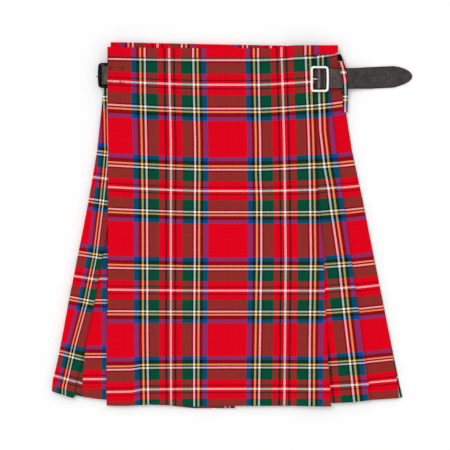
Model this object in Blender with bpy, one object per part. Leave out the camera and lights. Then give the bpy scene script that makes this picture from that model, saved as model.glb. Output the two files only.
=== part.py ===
"""A pleated tartan kilt, buckled and laid flat on a table with its front up.

Lengths are in metres, +Z is up and +Y points from the hem to the waist. The
origin is under the middle of the garment, on the table. The cloth is one long
length that is folded to and fro. Each stretch of it is a wall through sections
across the garment: a section is a chain of level runs joined by round folds,
and the layers are numbered from the table up.
"""

import math

import bmesh
import bpy
import numpy as np

# Cloth
CLOTH = 0.0010
LAYER = 0.0014
SEAM = 0.0003
FOLD_STEPS = 4
PLEAT_STEPS = 3
ROLL_STEPS = 8

# Waistband
BAND_LOW = 0.2675
BAND_RISE = 0.0055
BAND_STEP_UP = 0.266
BAND_STEP_DOWN = 0.258
SIDE_TOP = 0.280
BACK_BAND_LOW = 0.262
LIP = 0.0011

# Back pleats
PLEATS = 14
PLEAT_CLEAR = 0.008
PLEAT_DROP = 0.0045
RIGHT_JOIN = 0.008
LEFT_JOIN = 0.0105

# Hidden depths of the folds
TUCK = 0.018
SIDE_TUCK = 0.014
LEFT_TUCK = 0.016
UNDERLAY_REACH = 0.022
UNDER_STEP = (0.026, 0.045)
UNDER_END = 0.030
TIP_SHARE = 0.2

# Straps and buckles
STRAP = 0.0016
STRAP_WIDTH = 0.033
LEFT_STRAP_WIDTH = 0.0295
RIGHT_STRAP_Y = 0.2334
LEFT_STRAP_Y = 0.2395
RIGHT_BAR_X = 0.1398
LEFT_BAR_X = -0.1995
FRAME_LONG = 0.0290
FRAME_WIDE = 0.0438
LEFT_FRAME_WIDE = 0.0414
FRAME_WIRE = 0.0042
FRAME_FLAT = 0.6
FRAME_CORNER = 0.0058
BAR_RADIUS = 0.0009
PRONG_RADIUS = 0.0005
CHAPE = 0.0010
HOLE_RADIUS = 0.0015
PRONG_HOLE = 0.0013
STRAP_HOLES = (0.1656, 0.1968, 0.2124, 0.2280, 0.2436)
RIGHT_LIFT = 0.0021
LEFT_LIFT = 0.0054

# The middle line of the right strap, which lies a little askew, and how it narrows to its tip.
RIGHT_STRAP_LINE = ((0.119, 0.2336), (0.140, 0.2337), (0.165, 0.2347), (0.186, 0.2348), (0.237, 0.2363),
                    (0.258, 0.2372), (0.289, 0.2377))
RIGHT_STRAP_TIP = ((0.180, 1.0), (0.256, 1.0), (0.264, 0.93), (0.270, 0.83), (0.276, 0.67), (0.281, 0.50),
                   (0.285, 0.31), (0.2885, 0.08))

# Where each fold runs, from the waist down. Every column after the first is an x at that y.
COLUMNS = ("y", "left", "left_pleat", "inverted", "apron", "tuck", "side_pleat", "last_pleat", "right")
SECTIONS = np.array([
    (0.295, -0.193, -0.162, -0.170, -0.1992, 0.129, 0.154, 0.1675, 0.1685),
    (0.266, -0.199, -0.165, -0.173, -0.1988, 0.131, 0.155, 0.1694, 0.1704),
    (0.240, -0.203, -0.167, -0.175, -0.1985, 0.131, 0.156, 0.1726, 0.1736),
    (0.200, -0.2077, -0.171, -0.179, -0.1990, 0.1315, 0.1584, 0.1790, 0.1800),
    (0.120, -0.216, -0.180, -0.188, -0.1982, 0.136, 0.1672, 0.1913, 0.1923),
    (0.040, -0.2296, -0.191, -0.200, -0.1982, 0.1385, 0.1784, 0.2086, 0.2096),
    (-0.040, -0.2453, -0.2053, -0.214, -0.1986, 0.1464, 0.1888, 0.2244, 0.2254),
    (-0.120, -0.2613, -0.2197, -0.229, -0.1990, 0.1494, 0.2000, 0.2404, 0.2414),
    (-0.200, -0.2760, -0.2374, -0.2352, -0.2008, 0.1530, 0.2115, 0.2560, 0.2572),
    (-0.256, -0.2874, -0.2504, -0.2395, -0.2010, 0.1568, 0.2197, 0.2655, 0.2690),
    (-0.290, -0.2896, -0.2555, -0.2410, -0.2006, 0.1584, 0.2225, 0.2685, 0.2765),
])

# The edges of each piece at the waist and at the hem: y at an x.
FRONT_TOP = ((-0.199, 0.2845), (-0.051, 0.2832), (0.069, 0.2832), (0.093, 0.2874), (0.170, 0.2882))
UNDER_TOP = ((-0.193, 0.2931), (-0.083, 0.2909), (0.077, 0.2878), (0.110, 0.2868))
FRONT_HEM = ((-0.201, -0.2888), (-0.172, -0.2893), (-0.131, -0.2872), (-0.062, -0.2902),
             (0.009, -0.2893), (0.094, -0.2891), (0.157, -0.2900))
RIGHT_HEM = ((0.110, -0.2838), (0.158, -0.2848), (0.190, -0.2836), (0.221, -0.2801), (0.267, -0.2770),
             (0.276, -0.2747))
LEFT_HEM = ((-0.292, -0.2645), (-0.2815, -0.2680), (-0.2545, -0.2768), (-0.250, -0.2722),
            (-0.240, -0.2746), (-0.210, -0.276))
UNDER_HEM = ((-0.240, -0.2746), (-0.218, -0.2778), (-0.198, -0.2798), (0.120, -0.2830))
BACK_HEM = ((-0.292, -0.2645), (-0.2815, -0.2680), (-0.240, -0.2730), (-0.150, -0.2830),
            (-0.064, -0.2931), (0.006, -0.2931), (0.009, -0.2860), (0.158, -0.2810), (0.267, -0.2770),
            (0.276, -0.2747))

FRONT_ROWS = (0.285, 0.266, 0.258, 0.240, 0.216, 0.200, 0.160, 0.120, 0.080, 0.040, -0.014, -0.040,
              -0.080, -0.120, -0.160, -0.200, -0.256, -0.289)
SIDE_ROWS = (SIDE_TOP, BAND_STEP_UP, BAND_STEP_DOWN, 0.200, 0.120, 0.040, -0.040, -0.120, -0.200,
             -0.240, -0.276)
EDGE_REACH = 0.060

# How high the front apron lies, in layers, beside its left edge and in its middle.
APRON_LAYERS = ((0.266, 7.0, 5.2), (0.258, 7.0, 5.0), (0.200, 7.0, 4.4), (0.120, 7.0, 4.3),
                (-0.014, 7.0, 4.3), (-0.040, 6.3, 4.3), (-0.080, 5.4, 4.3), (-0.120, 4.9, 4.3),
                (-0.200, 4.7, 4.3), (-0.289, 4.6, 4.3))
TUCK_LAYER = 7.0

COLOURS = {
    "tartan": (0.60, 0.01, 0.02, 0.9, 0.0),
    "leather": (0.05, 0.045, 0.043, 0.5, 0.0),
    "metal": (0.75, 0.75, 0.76, 0.25, 1.0),
}


def clear_scene():
    for obj in list(bpy.data.objects):
        bpy.data.objects.remove(obj, do_unlink=True)


def collection(name):
    """A collection in the scene, made once."""
    found = bpy.data.collections.get(name)
    if found is None:
        found = bpy.data.collections.new(name)
        bpy.context.scene.collection.children.link(found)
    return found


def paint(obj, finish):
    """The piece's own material."""
    red, green, blue, roughness, metallic = COLOURS[finish]
    material = bpy.data.materials.new(obj.name + "_" + finish)
    material.use_nodes = True
    shader = material.node_tree.nodes["Principled BSDF"]
    shader.inputs["Base Color"].default_value = (red, green, blue, 1.0)
    shader.inputs["Roughness"].default_value = roughness
    shader.inputs["Metallic"].default_value = metallic
    obj.data.materials.append(material)


def column(name, y):
    """The x of a fold line at y."""
    return np.interp(-y, -SECTIONS[:, 0], SECTIONS[:, COLUMNS.index(name)])


def line(points, x):
    """The height on the page of an edge at x."""
    table = np.array(points)
    return np.interp(x, table[:, 0], table[:, 1])


def band_lift(y):
    """The pleats climb one layer onto the back waistband."""
    return LAYER * np.clip((y - BAND_STEP_DOWN) / (BAND_STEP_UP - BAND_STEP_DOWN), 0, 1)


def layer_z(layer, y):
    """The middle of the wall of a numbered layer."""
    return CLOTH / 2 + LAYER * layer + band_lift(y)


def strap_lift(x, y, tuck):
    """How much the front apron rises over the straps and the left buckle."""
    rows = (0.290, 0.266, 0.258, 0.216, 0.200, 0.160, 0.120)
    left = np.interp(-y, [-row for row in rows], (0.4, 0.95, 1.0, 1.0, 0.5, 0.1, 0.0))
    right = np.interp(-y, [-row for row in rows], (0.3, 0.6, 1.0, 1.0, 0.5, 0.1, 0.0))
    beside_left = np.interp(x, (-0.181, -0.150), (1.0, 0.0))
    beside_right = np.interp(x, (tuck - 0.045, tuck - 0.020), (0.0, 1.0))
    return LEFT_LIFT * left * beside_left + RIGHT_LIFT * right * beside_right


def section(runs, roll=FOLD_STEPS):
    """The middle line of folded cloth: level runs of (x, x, z, z, points), joined by round folds.

    The outside of each fold reaches the x where its run ends.
    """
    points = []
    shift = 0.0
    for index, (start, end, low, high, count) in enumerate(runs):
        way = np.sign(end - start)
        start = start + shift
        turn = 0.0
        if index + 1 < len(runs):
            turn = abs(runs[index + 1][2] - high) / 2
        stop = end - way * (CLOTH / 2 + turn) if turn else end
        share = np.linspace(0, 1, count)
        points += list(zip(start + (stop - start) * share, low + (high - low) * share))
        shift = 0.0
        if turn:
            middle = (runs[index + 1][2] + high) / 2
            down = np.sign(high - runs[index + 1][2])
            steps = roll if turn > 2 * LAYER else FOLD_STEPS
            for angle in np.linspace(0, math.pi, steps + 1)[1:-1]:
                points.append((stop + way * turn * math.sin(angle), middle + down * turn * math.cos(angle)))
            shift = stop - runs[index + 1][0]
    return np.array(points)


def wall_sides(points, thickness):
    """Both sides of a line of (x, z) points, half a wall away, mitred at its corners."""
    steps = np.diff(points, axis=0)
    steps = steps / np.linalg.norm(steps, axis=1)[:, None]
    before = np.vstack([steps[:1], steps])
    after = np.vstack([steps, steps[-1:]])
    normal = np.stack([-(before[:, 1] + after[:, 1]), before[:, 0] + after[:, 0]], axis=1)
    normal = normal / np.linalg.norm(normal, axis=1)[:, None]
    bend = np.abs(normal[:, 0] * -after[:, 1] + normal[:, 1] * after[:, 0])
    reach = thickness / 2 / np.maximum(bend, 0.6)
    return points + normal * reach[:, None], points - normal * reach[:, None]


def closed_wall(name, outer, inner, finish):
    """One closed body between two grids of points, rows by columns."""
    rows, columns = outer.shape[:2]
    mesh = bpy.data.meshes.new(name)
    points = np.concatenate([outer.reshape(-1, 3), inner.reshape(-1, 3)])
    number = np.arange(rows * columns).reshape(rows, columns)
    under = number + rows * columns
    faces = []
    for i in range(rows - 1):
        for j in range(columns - 1):
            faces.append((number[i, j], number[i + 1, j], number[i + 1, j + 1], number[i, j + 1]))
            faces.append((under[i, j], under[i, j + 1], under[i + 1, j + 1], under[i + 1, j]))
    rim = [(number[0, j], number[0, j + 1], under[0, j + 1], under[0, j]) for j in range(columns - 1)]
    rim += [(number[-1, j + 1], number[-1, j], under[-1, j], under[-1, j + 1]) for j in range(columns - 1)]
    rim += [(number[i + 1, 0], number[i, 0], under[i, 0], under[i + 1, 0]) for i in range(rows - 1)]
    rim += [(number[i, -1], number[i + 1, -1], under[i + 1, -1], under[i, -1]) for i in range(rows - 1)]
    mesh.from_pydata(points.tolist(), [], [tuple(int(v) for v in face) for face in faces + rim])
    clean = bmesh.new()
    clean.from_mesh(mesh)
    bmesh.ops.triangulate(clean, faces=clean.faces)
    bmesh.ops.recalc_face_normals(clean, faces=clean.faces)
    clean.to_mesh(mesh)
    clean.free()
    obj = bpy.data.objects.new(name, mesh)
    collection("Kilt").objects.link(obj)
    paint(obj, finish)
    return obj


def page_y(row, x, rows, hem):
    """A row's y at x: near the hem it follows the piece's own edge."""
    near_hem = np.clip(1 - (row - rows[-1]) / EDGE_REACH, 0, 1)
    return row + near_hem * (line(hem, x) - rows[-1])


def cloth(name, rows, runs_at, hem):
    """A stretch of cloth: its folded section at each row, from the waist to the hem."""
    outer = []
    inner = []
    for row in rows:
        sides = wall_sides(section(runs_at(row), ROLL_STEPS), CLOTH)
        for grid, side in zip((outer, inner), sides):
            y = page_y(row, side[:, 0], rows, hem)
            grid.append(np.stack([side[:, 0], y, side[:, 1]], axis=1))
    return closed_wall(name, np.array(outer), np.array(inner), "tartan")


def apron_places(y):
    """The x and z of points across the front apron, from its left edge to its tuck."""
    left = column("apron", y)
    tuck = column("tuck", y)
    table = np.array(APRON_LAYERS)
    side = np.interp(-y, -table[:, 0], table[:, 1])
    middle = np.interp(-y, -table[:, 0], table[:, 2])
    shoulder = max(column("left_pleat", y) + 0.006, left + 0.012)
    x = np.concatenate([
        [left, (left + shoulder) / 2, shoulder, shoulder + 0.015, shoulder + 0.030, shoulder + 0.045],
        np.linspace(shoulder + 0.045, tuck - 0.070, 6)[1:],
        [tuck - 0.055, tuck - 0.040, tuck - 0.026, tuck],
    ])
    fall = np.clip((x - shoulder) / 0.045, 0, 1)
    climb = np.clip((x - (tuck - 0.070)) / 0.044, 0, 1)
    fall, climb = (s * s * (3 - 2 * s) for s in (fall, climb))
    layer = side + (middle - side) * fall + (TUCK_LAYER - middle) * climb
    return x, layer_z(layer, y) + strap_lift(x, y, tuck)


def front_apron():
    """The over-apron, flat between its free left edge and the tuck that turns under at its right."""
    outer = []
    inner = []
    for row in FRONT_ROWS:
        x, z = apron_places(row)
        run = LAYER / 2
        stop = x[-1] - CLOTH / 2 - run
        x[-1] = stop
        turn = [(stop + run * math.sin(a), z[-1] - run + run * math.cos(a))
                for a in np.linspace(0, math.pi, FOLD_STEPS + 1)[1:]]
        back = [(column("tuck", row) - TUCK, z[-1] - LAYER)]
        points = np.array(list(zip(x, z)) + turn + back)
        for grid, side in zip((outer, inner), wall_sides(points, CLOTH)):
            y = page_y(row, side[:, 0], FRONT_ROWS, FRONT_HEM)
            if row == FRONT_ROWS[0]:
                y = line(FRONT_TOP, side[:, 0]) - LIP - CLOTH - SEAM
            grid.append(np.stack([side[:, 0], y, side[:, 1]], axis=1))
    closed_wall("front_apron", np.array(outer), np.array(inner), "tartan")


def right_side():
    """Two pleats at the right: each turns under at its right edge, and the last rolls to the back."""
    def runs(y):
        z = [layer_z(layer, y) for layer in range(6)]
        tuck = column("tuck", y)
        pleat = column("side_pleat", y)
        last = column("last_pleat", y)
        right = column("right", y)
        tip = last - TIP_SHARE * pleat_width(y)
        return [
            (tuck - TUCK - 0.004, pleat, z[5], z[5], 4),
            (pleat, pleat - SIDE_TUCK, z[4], z[4], 2),
            (pleat - SIDE_TUCK, last, z[3], z[3], 4),
            (last, tip, z[2], z[2], 2),
            (tip, right, z[1], z[1], 2),
            (right, right - RIGHT_JOIN, z[0], z[0], 2),
        ]
    cloth("right_side", SIDE_ROWS, runs, RIGHT_HEM)


def left_side():
    """The left pleat: it rolls up from the back, turns under at its right edge and ends as an underlay."""
    def runs(y):
        z = [layer_z(layer, y) for layer in range(7)]
        left = column("left", y)
        pleat = column("left_pleat", y)
        underlay = column("inverted", y) + UNDERLAY_REACH
        return [
            (left + LEFT_JOIN - SEAM, left, z[0], z[0], 2),
            (left, pleat, z[6], z[6], 4),
            (pleat, pleat - LEFT_TUCK, z[5], z[5], 2),
            (pleat - LEFT_TUCK, underlay, z[3], z[3], 4),
        ]
    cloth("left_side", SIDE_ROWS, runs, LEFT_HEM)


def under_apron():
    """The inner apron: it lies over the underlay at its left and on the back pleats elsewhere."""
    def runs(y):
        high = layer_z(4, y)
        low = layer_z(3, y)
        left = column("inverted", y)
        right = column("tuck", y) - UNDER_END
        return [
            (left, left + UNDER_STEP[0], high, high, 3),
            (left + UNDER_STEP[1], right, low, low, 5),
        ]

    outer = []
    inner = []
    for row in SIDE_ROWS:
        points = np.concatenate([
            np.stack([np.linspace(start, end, count), np.linspace(low, high, count)], axis=1)
            for start, end, low, high, count in runs(row)
        ])
        for grid, side in zip((outer, inner), wall_sides(points, CLOTH)):
            y = page_y(row, side[:, 0], SIDE_ROWS, UNDER_HEM)
            grid.append(np.stack([side[:, 0], y, side[:, 1]], axis=1))
    closed_wall("under_apron", np.array(outer), np.array(inner), "tartan")


def pleat_width(y):
    """How much of each back pleat shows."""
    right = column("right", y) - RIGHT_JOIN
    left = column("left", y) + LEFT_JOIN
    return (right - left) / (PLEATS + 1)


def back_pleats():
    """Knife pleats with their faces on the table, each fold under the face of the next."""
    def points_at(y):
        z = [layer_z(layer, y) for layer in range(3)]
        width = pleat_width(y)
        x = column("right", y) - RIGHT_JOIN - SEAM
        end = column("left", y) + LEFT_JOIN
        run = LAYER / 2
        points = [(x, z[0])]
        for pleat in range(PLEATS):
            fold = column("right", y) - RIGHT_JOIN - (pleat + 1) * width
            stop = fold + CLOTH / 2 + run
            back = fold + width - PLEAT_CLEAR
            for angle in np.linspace(0, math.pi, PLEAT_STEPS + 1):
                points.append((stop - run * math.sin(angle), z[0] + run - run * math.cos(angle)))
            for angle in np.linspace(0, math.pi, PLEAT_STEPS + 1):
                points.append((back + run * math.sin(angle), z[1] + run - run * math.cos(angle)))
            points.append((fold + CLOTH, z[2]))
            points.append((fold + CLOTH - PLEAT_DROP, z[0]))
        points.append((end, z[0]))
        return np.array(points)

    outer = []
    inner = []
    for row in SIDE_ROWS:
        for grid, side in zip((outer, inner), wall_sides(points_at(row), CLOTH)):
            y = page_y(row, side[:, 0], SIDE_ROWS, BACK_HEM)
            grid.append(np.stack([side[:, 0], y, side[:, 1]], axis=1))
    closed_wall("back_pleats", np.array(outer), np.array(inner), "tartan")


def band(name, x, z, low, top, lip_way):
    """A strip along the waist, from low to top at each x, whose top edge turns over by a lip."""
    outer = []
    inner = []
    for place, height, bottom, crest in zip(x, z, low, top):
        flat = [(bottom, height), ((bottom + crest) / 2, height), (crest - LIP, height)]
        lip = [(crest - LIP + LIP * math.sin(a), height + lip_way * (LIP - LIP * math.cos(a)))
               for a in np.linspace(0, math.pi / 2, 4)[1:]]
        lip.append((crest, height + lip_way * 2 * LIP))
        for grid, side in zip((outer, inner), wall_sides(np.array(flat + lip), CLOTH)):
            grid.append(np.stack([np.full(len(side), place), side[:, 0], side[:, 1]], axis=1))
    closed_wall(name, np.array(outer), np.array(inner), "tartan")


def waistbands():
    """The band over the front apron, the strip that stands above it, and the band of the back."""
    x, z = apron_places(BAND_LOW)
    z = z + LAYER
    side_z = layer_z(6.2, BAND_LOW)
    x = np.append(x, (x[-1] + 0.006, x[-1] + 0.018, 0.1695))
    z = np.append(z, (side_z + LAYER, side_z, side_z))
    low = BAND_LOW + BAND_RISE * np.clip((x - 0.090) / 0.080, 0, 1)
    band("waistband_front", x, z, low, line(FRONT_TOP, x) - CLOTH / 2, -1)

    left = column("inverted", SIDE_TOP)
    right = column("tuck", SIDE_TOP) - UNDER_END
    x = np.array([UNDER_TOP[0][0], -0.182, left, left + UNDER_STEP[0]])
    x = np.append(x, np.linspace(left + UNDER_STEP[1], right, 5))
    z = np.interp(x, left + np.array(UNDER_STEP), (layer_z(4, SIDE_TOP), layer_z(3, SIDE_TOP)))
    low = np.full(len(x), SIDE_TOP + SEAM)
    band("waistband_under", x, z, low, line(UNDER_TOP, x) - CLOTH / 2, -1)

    x = np.linspace(column("left", SIDE_TOP) + 0.004, column("right", SIDE_TOP) - 0.002, 9)
    low = np.full(len(x), BACK_BAND_LOW + 0.005)
    top = np.full(len(x), SIDE_TOP + CLOTH / 2 + SEAM + 0.0004)
    band("waistband_back", x, np.full(len(x), CLOTH / 2), low, top, 1)


def strip(name, path, middle, width, thickness, finish, shape=None):
    """A flat strap that follows (x, z) points and lies across y.

    middle gives the y of its middle line at each x, and shape narrows it along its length.
    """
    points = np.array(path)
    upper, lower = wall_sides(points, thickness)
    across = np.array([-0.5, -0.17, 0.17, 0.5])
    grids = []
    for side in (upper, lower):
        grid = np.zeros((len(points), len(across), 3))
        grid[:, :, 0] = side[:, :1]
        grid[:, :, 2] = side[:, 1:]
        for i, x in enumerate(points[:, 0]):
            share = 1.0 if shape is None else float(line(shape, x))
            grid[i, :, 1] = line(middle, x) + across * width * share
        grids.append(grid)
    return closed_wall(name, grids[0], grids[1], finish)


def drill(obj, places, radius, stretch=1.0, height=0.010, depth=0.060):
    """Round or slotted holes down through a strap at the given (x, y) places."""
    for index, (x, y) in enumerate(places):
        spot = (x, y, height)
        bpy.ops.mesh.primitive_cylinder_add(vertices=10, radius=radius, depth=depth, location=spot)
        cutter = bpy.context.object
        cutter.name = "hole_" + obj.name + "_" + str(index)
        cutter.scale = (stretch, 1.0, 1.0)
        cutter.hide_render = True
        cutter.display_type = "WIRE"
        for group in cutter.users_collection:
            group.objects.unlink(cutter)
        collection("Cutters").objects.link(cutter)
        cut = obj.modifiers.new(cutter.name, "BOOLEAN")
        cut.object = cutter
        cut.operation = "DIFFERENCE"
        cut.solver = "EXACT"


def tube(name, points, radius, cyclic=False, widths=None, flat=1.0, resolution=1):
    """A wire through points, made a closed mesh. flat squeezes its height about z = 0."""
    curve = bpy.data.curves.new(name, "CURVE")
    curve.dimensions = "3D"
    curve.bevel_depth = radius
    curve.bevel_resolution = resolution
    curve.use_fill_caps = not cyclic
    spline = curve.splines.new("POLY")
    spline.points.add(len(points) - 1)
    spline.use_cyclic_u = cyclic
    for index, (point, target) in enumerate(zip(points, spline.points)):
        target.co = (point[0], point[1], point[2] / flat, 1.0)
        if widths is not None:
            target.radius = widths[index]
    guide = bpy.data.objects.new(name + "_guide", curve)
    collection("Cutters").objects.link(guide)
    bpy.context.view_layer.update()
    made = bpy.data.meshes.new_from_object(guide.evaluated_get(bpy.context.evaluated_depsgraph_get()))
    bpy.data.objects.remove(guide)
    clean = bmesh.new()
    clean.from_mesh(made)
    bmesh.ops.remove_doubles(clean, verts=clean.verts, dist=0.00001)
    for vertex in clean.verts:
        vertex.co.z *= flat
    bmesh.ops.recalc_face_normals(clean, faces=clean.faces)
    clean.to_mesh(made)
    clean.free()
    made.shade_smooth()
    obj = bpy.data.objects.new(name, made)
    return obj


def rounded_rectangle(long, wide, corner, steps=4):
    """Points round a rectangle with round corners, anticlockwise, about its middle."""
    points = []
    for quarter in range(4):
        sign_x = 1 if quarter in (0, 3) else -1
        sign_y = 1 if quarter in (0, 1) else -1
        centre = (sign_x * (long / 2 - corner), sign_y * (wide / 2 - corner))
        for angle in np.linspace(0, math.pi / 2, steps + 1):
            turn = quarter * math.pi / 2 + angle
            points.append((centre[0] + corner * math.cos(turn), centre[1] + corner * math.sin(turn)))
    return points


def buckle(name, bar_x, middle, left_z, right_z, bar_z, wide):
    """A rounded frame, high at left_z and right_z, and a centre bar that dips under the strap."""
    path = rounded_rectangle(FRAME_LONG - FRAME_WIRE, wide - FRAME_WIRE, FRAME_CORNER)
    slope = (right_z - left_z) / (FRAME_LONG - FRAME_WIRE)
    level = (left_z + right_z) / 2
    ring = [(bar_x + x, middle + y, level + slope * x) for x, y in path]
    frame = tube(name, ring, FRAME_WIRE / 2, cyclic=True, flat=FRAME_FLAT, resolution=1)
    collection("Kilt").objects.link(frame)
    paint(frame, "metal")
    half = (wide - FRAME_WIRE) / 2
    dip = ((half, level), (half - 0.0022, bar_z + 0.0008), (half - 0.0036, bar_z))
    arch = [(bar_x, middle - y, z) for y, z in dip] + [(bar_x, middle + y, z) for y, z in reversed(dip)]
    bar = tube(name + "_bar", arch, BAR_RADIUS, resolution=1)
    bar.hide_render = True
    bar.display_type = "WIRE"
    collection("Cutters").objects.link(bar)
    join = frame.modifiers.new("bar", "BOOLEAN")
    join.operation = "UNION"
    join.solver = "EXACT"
    join.object = bar
    return frame


def prong(name, bar_x, bar_z, middle, angles, tail):
    """A wire that hooks round the bar through the angles, clear of it, and ends in a thicker tongue."""
    reach = BAR_RADIUS + SEAM + PRONG_RADIUS
    ring = [(bar_x + reach * math.cos(a), middle, bar_z + reach * math.sin(a)) for a in np.radians(angles)]
    points = ring + [(x, middle, z) for x, z in tail]
    widths = [1.0] * len(ring) + [1.5] * (len(tail) - 1) + [1.0]
    obj = tube(name, points, PRONG_RADIUS, widths=widths, resolution=1)
    collection("Kilt").objects.link(obj)
    paint(obj, "metal")


def right_strap():
    """The right strap: from under the tuck, over the bar, through the frame and keeper, to a free tail."""
    pleat_top = layer_z(5, RIGHT_STRAP_Y) + CLOTH / 2
    low = pleat_top + SEAM + STRAP / 2
    bar_z = pleat_top + SEAM + CHAPE + SEAM + BAR_RADIUS
    crest = bar_z + BAR_RADIUS + SEAM + CHAPE + SEAM + STRAP / 2
    path = [
        (0.1190, low), (0.1306, low), (0.1322, low + 0.0002), (0.1346, low + 0.0016),
        (RIGHT_BAR_X - 0.0028, crest - 0.0008), (RIGHT_BAR_X, crest),
        (RIGHT_BAR_X + 0.0032, crest - 0.0004), (RIGHT_BAR_X + 0.0070, low + 0.0027),
        (RIGHT_BAR_X + 0.0125, low + 0.0024),
        (0.1580, low + 0.0020), (0.1680, low + 0.0005), (0.1790, low - 0.0010), (0.1900, low - 0.0023),
        (0.2050, low - 0.0050), (0.2200, low - 0.0070), (0.2360, 0.0012), (0.2540, 0.0011),
        (0.2640, 0.0011), (0.2700, 0.0011), (0.2760, 0.0011), (0.2810, 0.0011), (0.2850, 0.0011),
        (0.2885, 0.0011),
    ]
    strap = strip("strap_right", path, RIGHT_STRAP_LINE, STRAP_WIDTH, STRAP, "leather", RIGHT_STRAP_TIP)
    drill(strap, [(x, line(RIGHT_STRAP_LINE, x)) for x in STRAP_HOLES], HOLE_RADIUS)
    drill(strap, [(RIGHT_BAR_X - 0.0029, RIGHT_STRAP_Y)], PRONG_HOLE, 2.0)

    chape_z = bar_z + BAR_RADIUS + SEAM + CHAPE / 2
    below = 2 * bar_z - chape_z
    around = (chape_z - below) / 2
    loop = [(RIGHT_BAR_X - around * math.sin(a), bar_z + around * math.cos(a))
            for a in np.linspace(0, math.pi, 7)]
    folded = below + CHAPE + SEAM
    chape_path = [(0.1530, folded), (0.1470, folded), (0.1440, chape_z - 0.0010)]
    chape_path += loop + [(0.1440, below), (0.1530, below)]
    level = ((0.0, RIGHT_STRAP_Y), (1.0, RIGHT_STRAP_Y))
    chape = strip("chape_right", chape_path, level, STRAP_WIDTH - 0.003, CHAPE, "leather")
    slot = [(RIGHT_BAR_X - 0.0010, RIGHT_STRAP_Y)]
    drill(chape, slot, 0.0016, 2.4)

    apron_top = layer_z(TUCK_LAYER, RIGHT_STRAP_Y) + RIGHT_LIFT + CLOTH / 2
    half = FRAME_WIRE / 2 * FRAME_FLAT
    left_z = apron_top + SEAM + half
    right_z = low + 0.0024 + STRAP / 2 + SEAM + half
    buckle("buckle_right", RIGHT_BAR_X, RIGHT_STRAP_Y, left_z, right_z, bar_z, FRAME_WIDE)
    over = left_z + half + SEAM + PRONG_RADIUS * 1.5
    tail = [(RIGHT_BAR_X - 0.0024, crest - 0.0010), (RIGHT_BAR_X - 0.0060, crest + 0.0013),
            (RIGHT_BAR_X - 0.0124, over), (RIGHT_BAR_X - 0.0150, over - 0.0002)]
    prong("prong_right", RIGHT_BAR_X, bar_z, RIGHT_STRAP_Y, (205, 250, 295, 340, 25, 70, 105), tail)


def left_strap():
    """The left strap: from inside the apron, over its bar and down round the left roll."""
    pleat_top = layer_z(6, LEFT_STRAP_Y) + CLOTH / 2
    low = pleat_top + SEAM + STRAP / 2
    bar_z = pleat_top + SEAM + 2 * PRONG_RADIUS + SEAM + BAR_RADIUS
    crest = bar_z + BAR_RADIUS + SEAM + STRAP / 2
    path = [
        (-0.1720, low), (-0.1800, low), (-0.1890, low), (-0.1935, low + 0.0010),
        (LEFT_BAR_X + 0.0022, crest - 0.0004), (LEFT_BAR_X, crest), (LEFT_BAR_X - 0.0030, crest - 0.0006),
        (LEFT_BAR_X - 0.0056, crest - 0.0024), (LEFT_BAR_X - 0.0075, crest - 0.0050),
        (LEFT_BAR_X - 0.0091, 0.0066), (LEFT_BAR_X - 0.0094, 0.0044), (LEFT_BAR_X - 0.0082, 0.0023),
        (LEFT_BAR_X - 0.0060, 0.0013),
    ]
    level = ((-1.0, LEFT_STRAP_Y), (0.0, LEFT_STRAP_Y))
    strap = strip("strap_left", path, level, LEFT_STRAP_WIDTH, STRAP, "leather")
    drill(strap, [(LEFT_BAR_X - 0.0052, LEFT_STRAP_Y)], PRONG_HOLE, 2.2, bar_z, 0.006)
    half = FRAME_WIRE / 2 * FRAME_FLAT
    right_z = low + STRAP / 2 + SEAM + half
    left_z = right_z - 0.0024
    buckle("buckle_left", LEFT_BAR_X, LEFT_STRAP_Y, left_z, right_z, bar_z, LEFT_FRAME_WIDE)
    over = left_z + half + SEAM + PRONG_RADIUS * 1.5
    tail = [(LEFT_BAR_X - 0.0045, bar_z + 0.0005), (LEFT_BAR_X - 0.0124, over),
            (LEFT_BAR_X - 0.0178, over - 0.0006)]
    prong("prong_left", LEFT_BAR_X, bar_z, LEFT_STRAP_Y, (285, 245, 210, 180), tail)


def strap_loop():
    """The tartan keeper: a narrow strip along the right edge, over the strap."""
    rows = (0.2735, 0.264, 0.2580, 0.2530, 0.233, 0.2160, 0.2110, 0.205, 0.181)
    over = layer_z(5, RIGHT_STRAP_Y) + CLOTH / 2 + SEAM + STRAP + SEAM + CLOTH / 2
    low = layer_z(4, 0.2) - 0.0002
    heights = (low + LAYER, low + LAYER, over - 0.0012, over, over, over, over - 0.0012, low, low)
    inner_x = (0.1692, 0.1700, 0.1712, 0.1730, 0.1766, 0.1770, 0.1774, 0.1776, 0.1773)
    outer_x = (0.1742, 0.1782, 0.1800, 0.1815, 0.1850, 0.1856, 0.1856, 0.1856, 0.1850)
    outer = []
    inner = []
    for row, height, near, far in zip(rows, heights, inner_x, outer_x):
        x = np.linspace(near, far, 4)
        points = np.stack([x, height - 0.0005 * ((x - near) / (far - near)) ** 2], axis=1)
        for grid, side in zip((outer, inner), wall_sides(points, CLOTH)):
            grid.append(np.stack([side[:, 0], np.full(len(x), row), side[:, 1]], axis=1))
    closed_wall("strap_loop", np.array(outer), np.array(inner), "tartan")


def main():
    clear_scene()
    back_pleats()
    left_side()
    right_side()
    under_apron()
    front_apron()
    waistbands()
    right_strap()
    left_strap()
    strap_loop()


main()
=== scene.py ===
"""A pleated tartan kilt, buckled and laid flat on a white table, seen from straight above.

Lengths are in metres. +Z is up and +Y points from the hem to the waist. The cloth
is numbered in layers from the table up, and each piece of it is a thin shell with
the section of its folds. Every point of a shell carries the number of the warp and
weft thread that it lies on, so the tartan is woven from two charts of thread counts.
"""

import math

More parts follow.
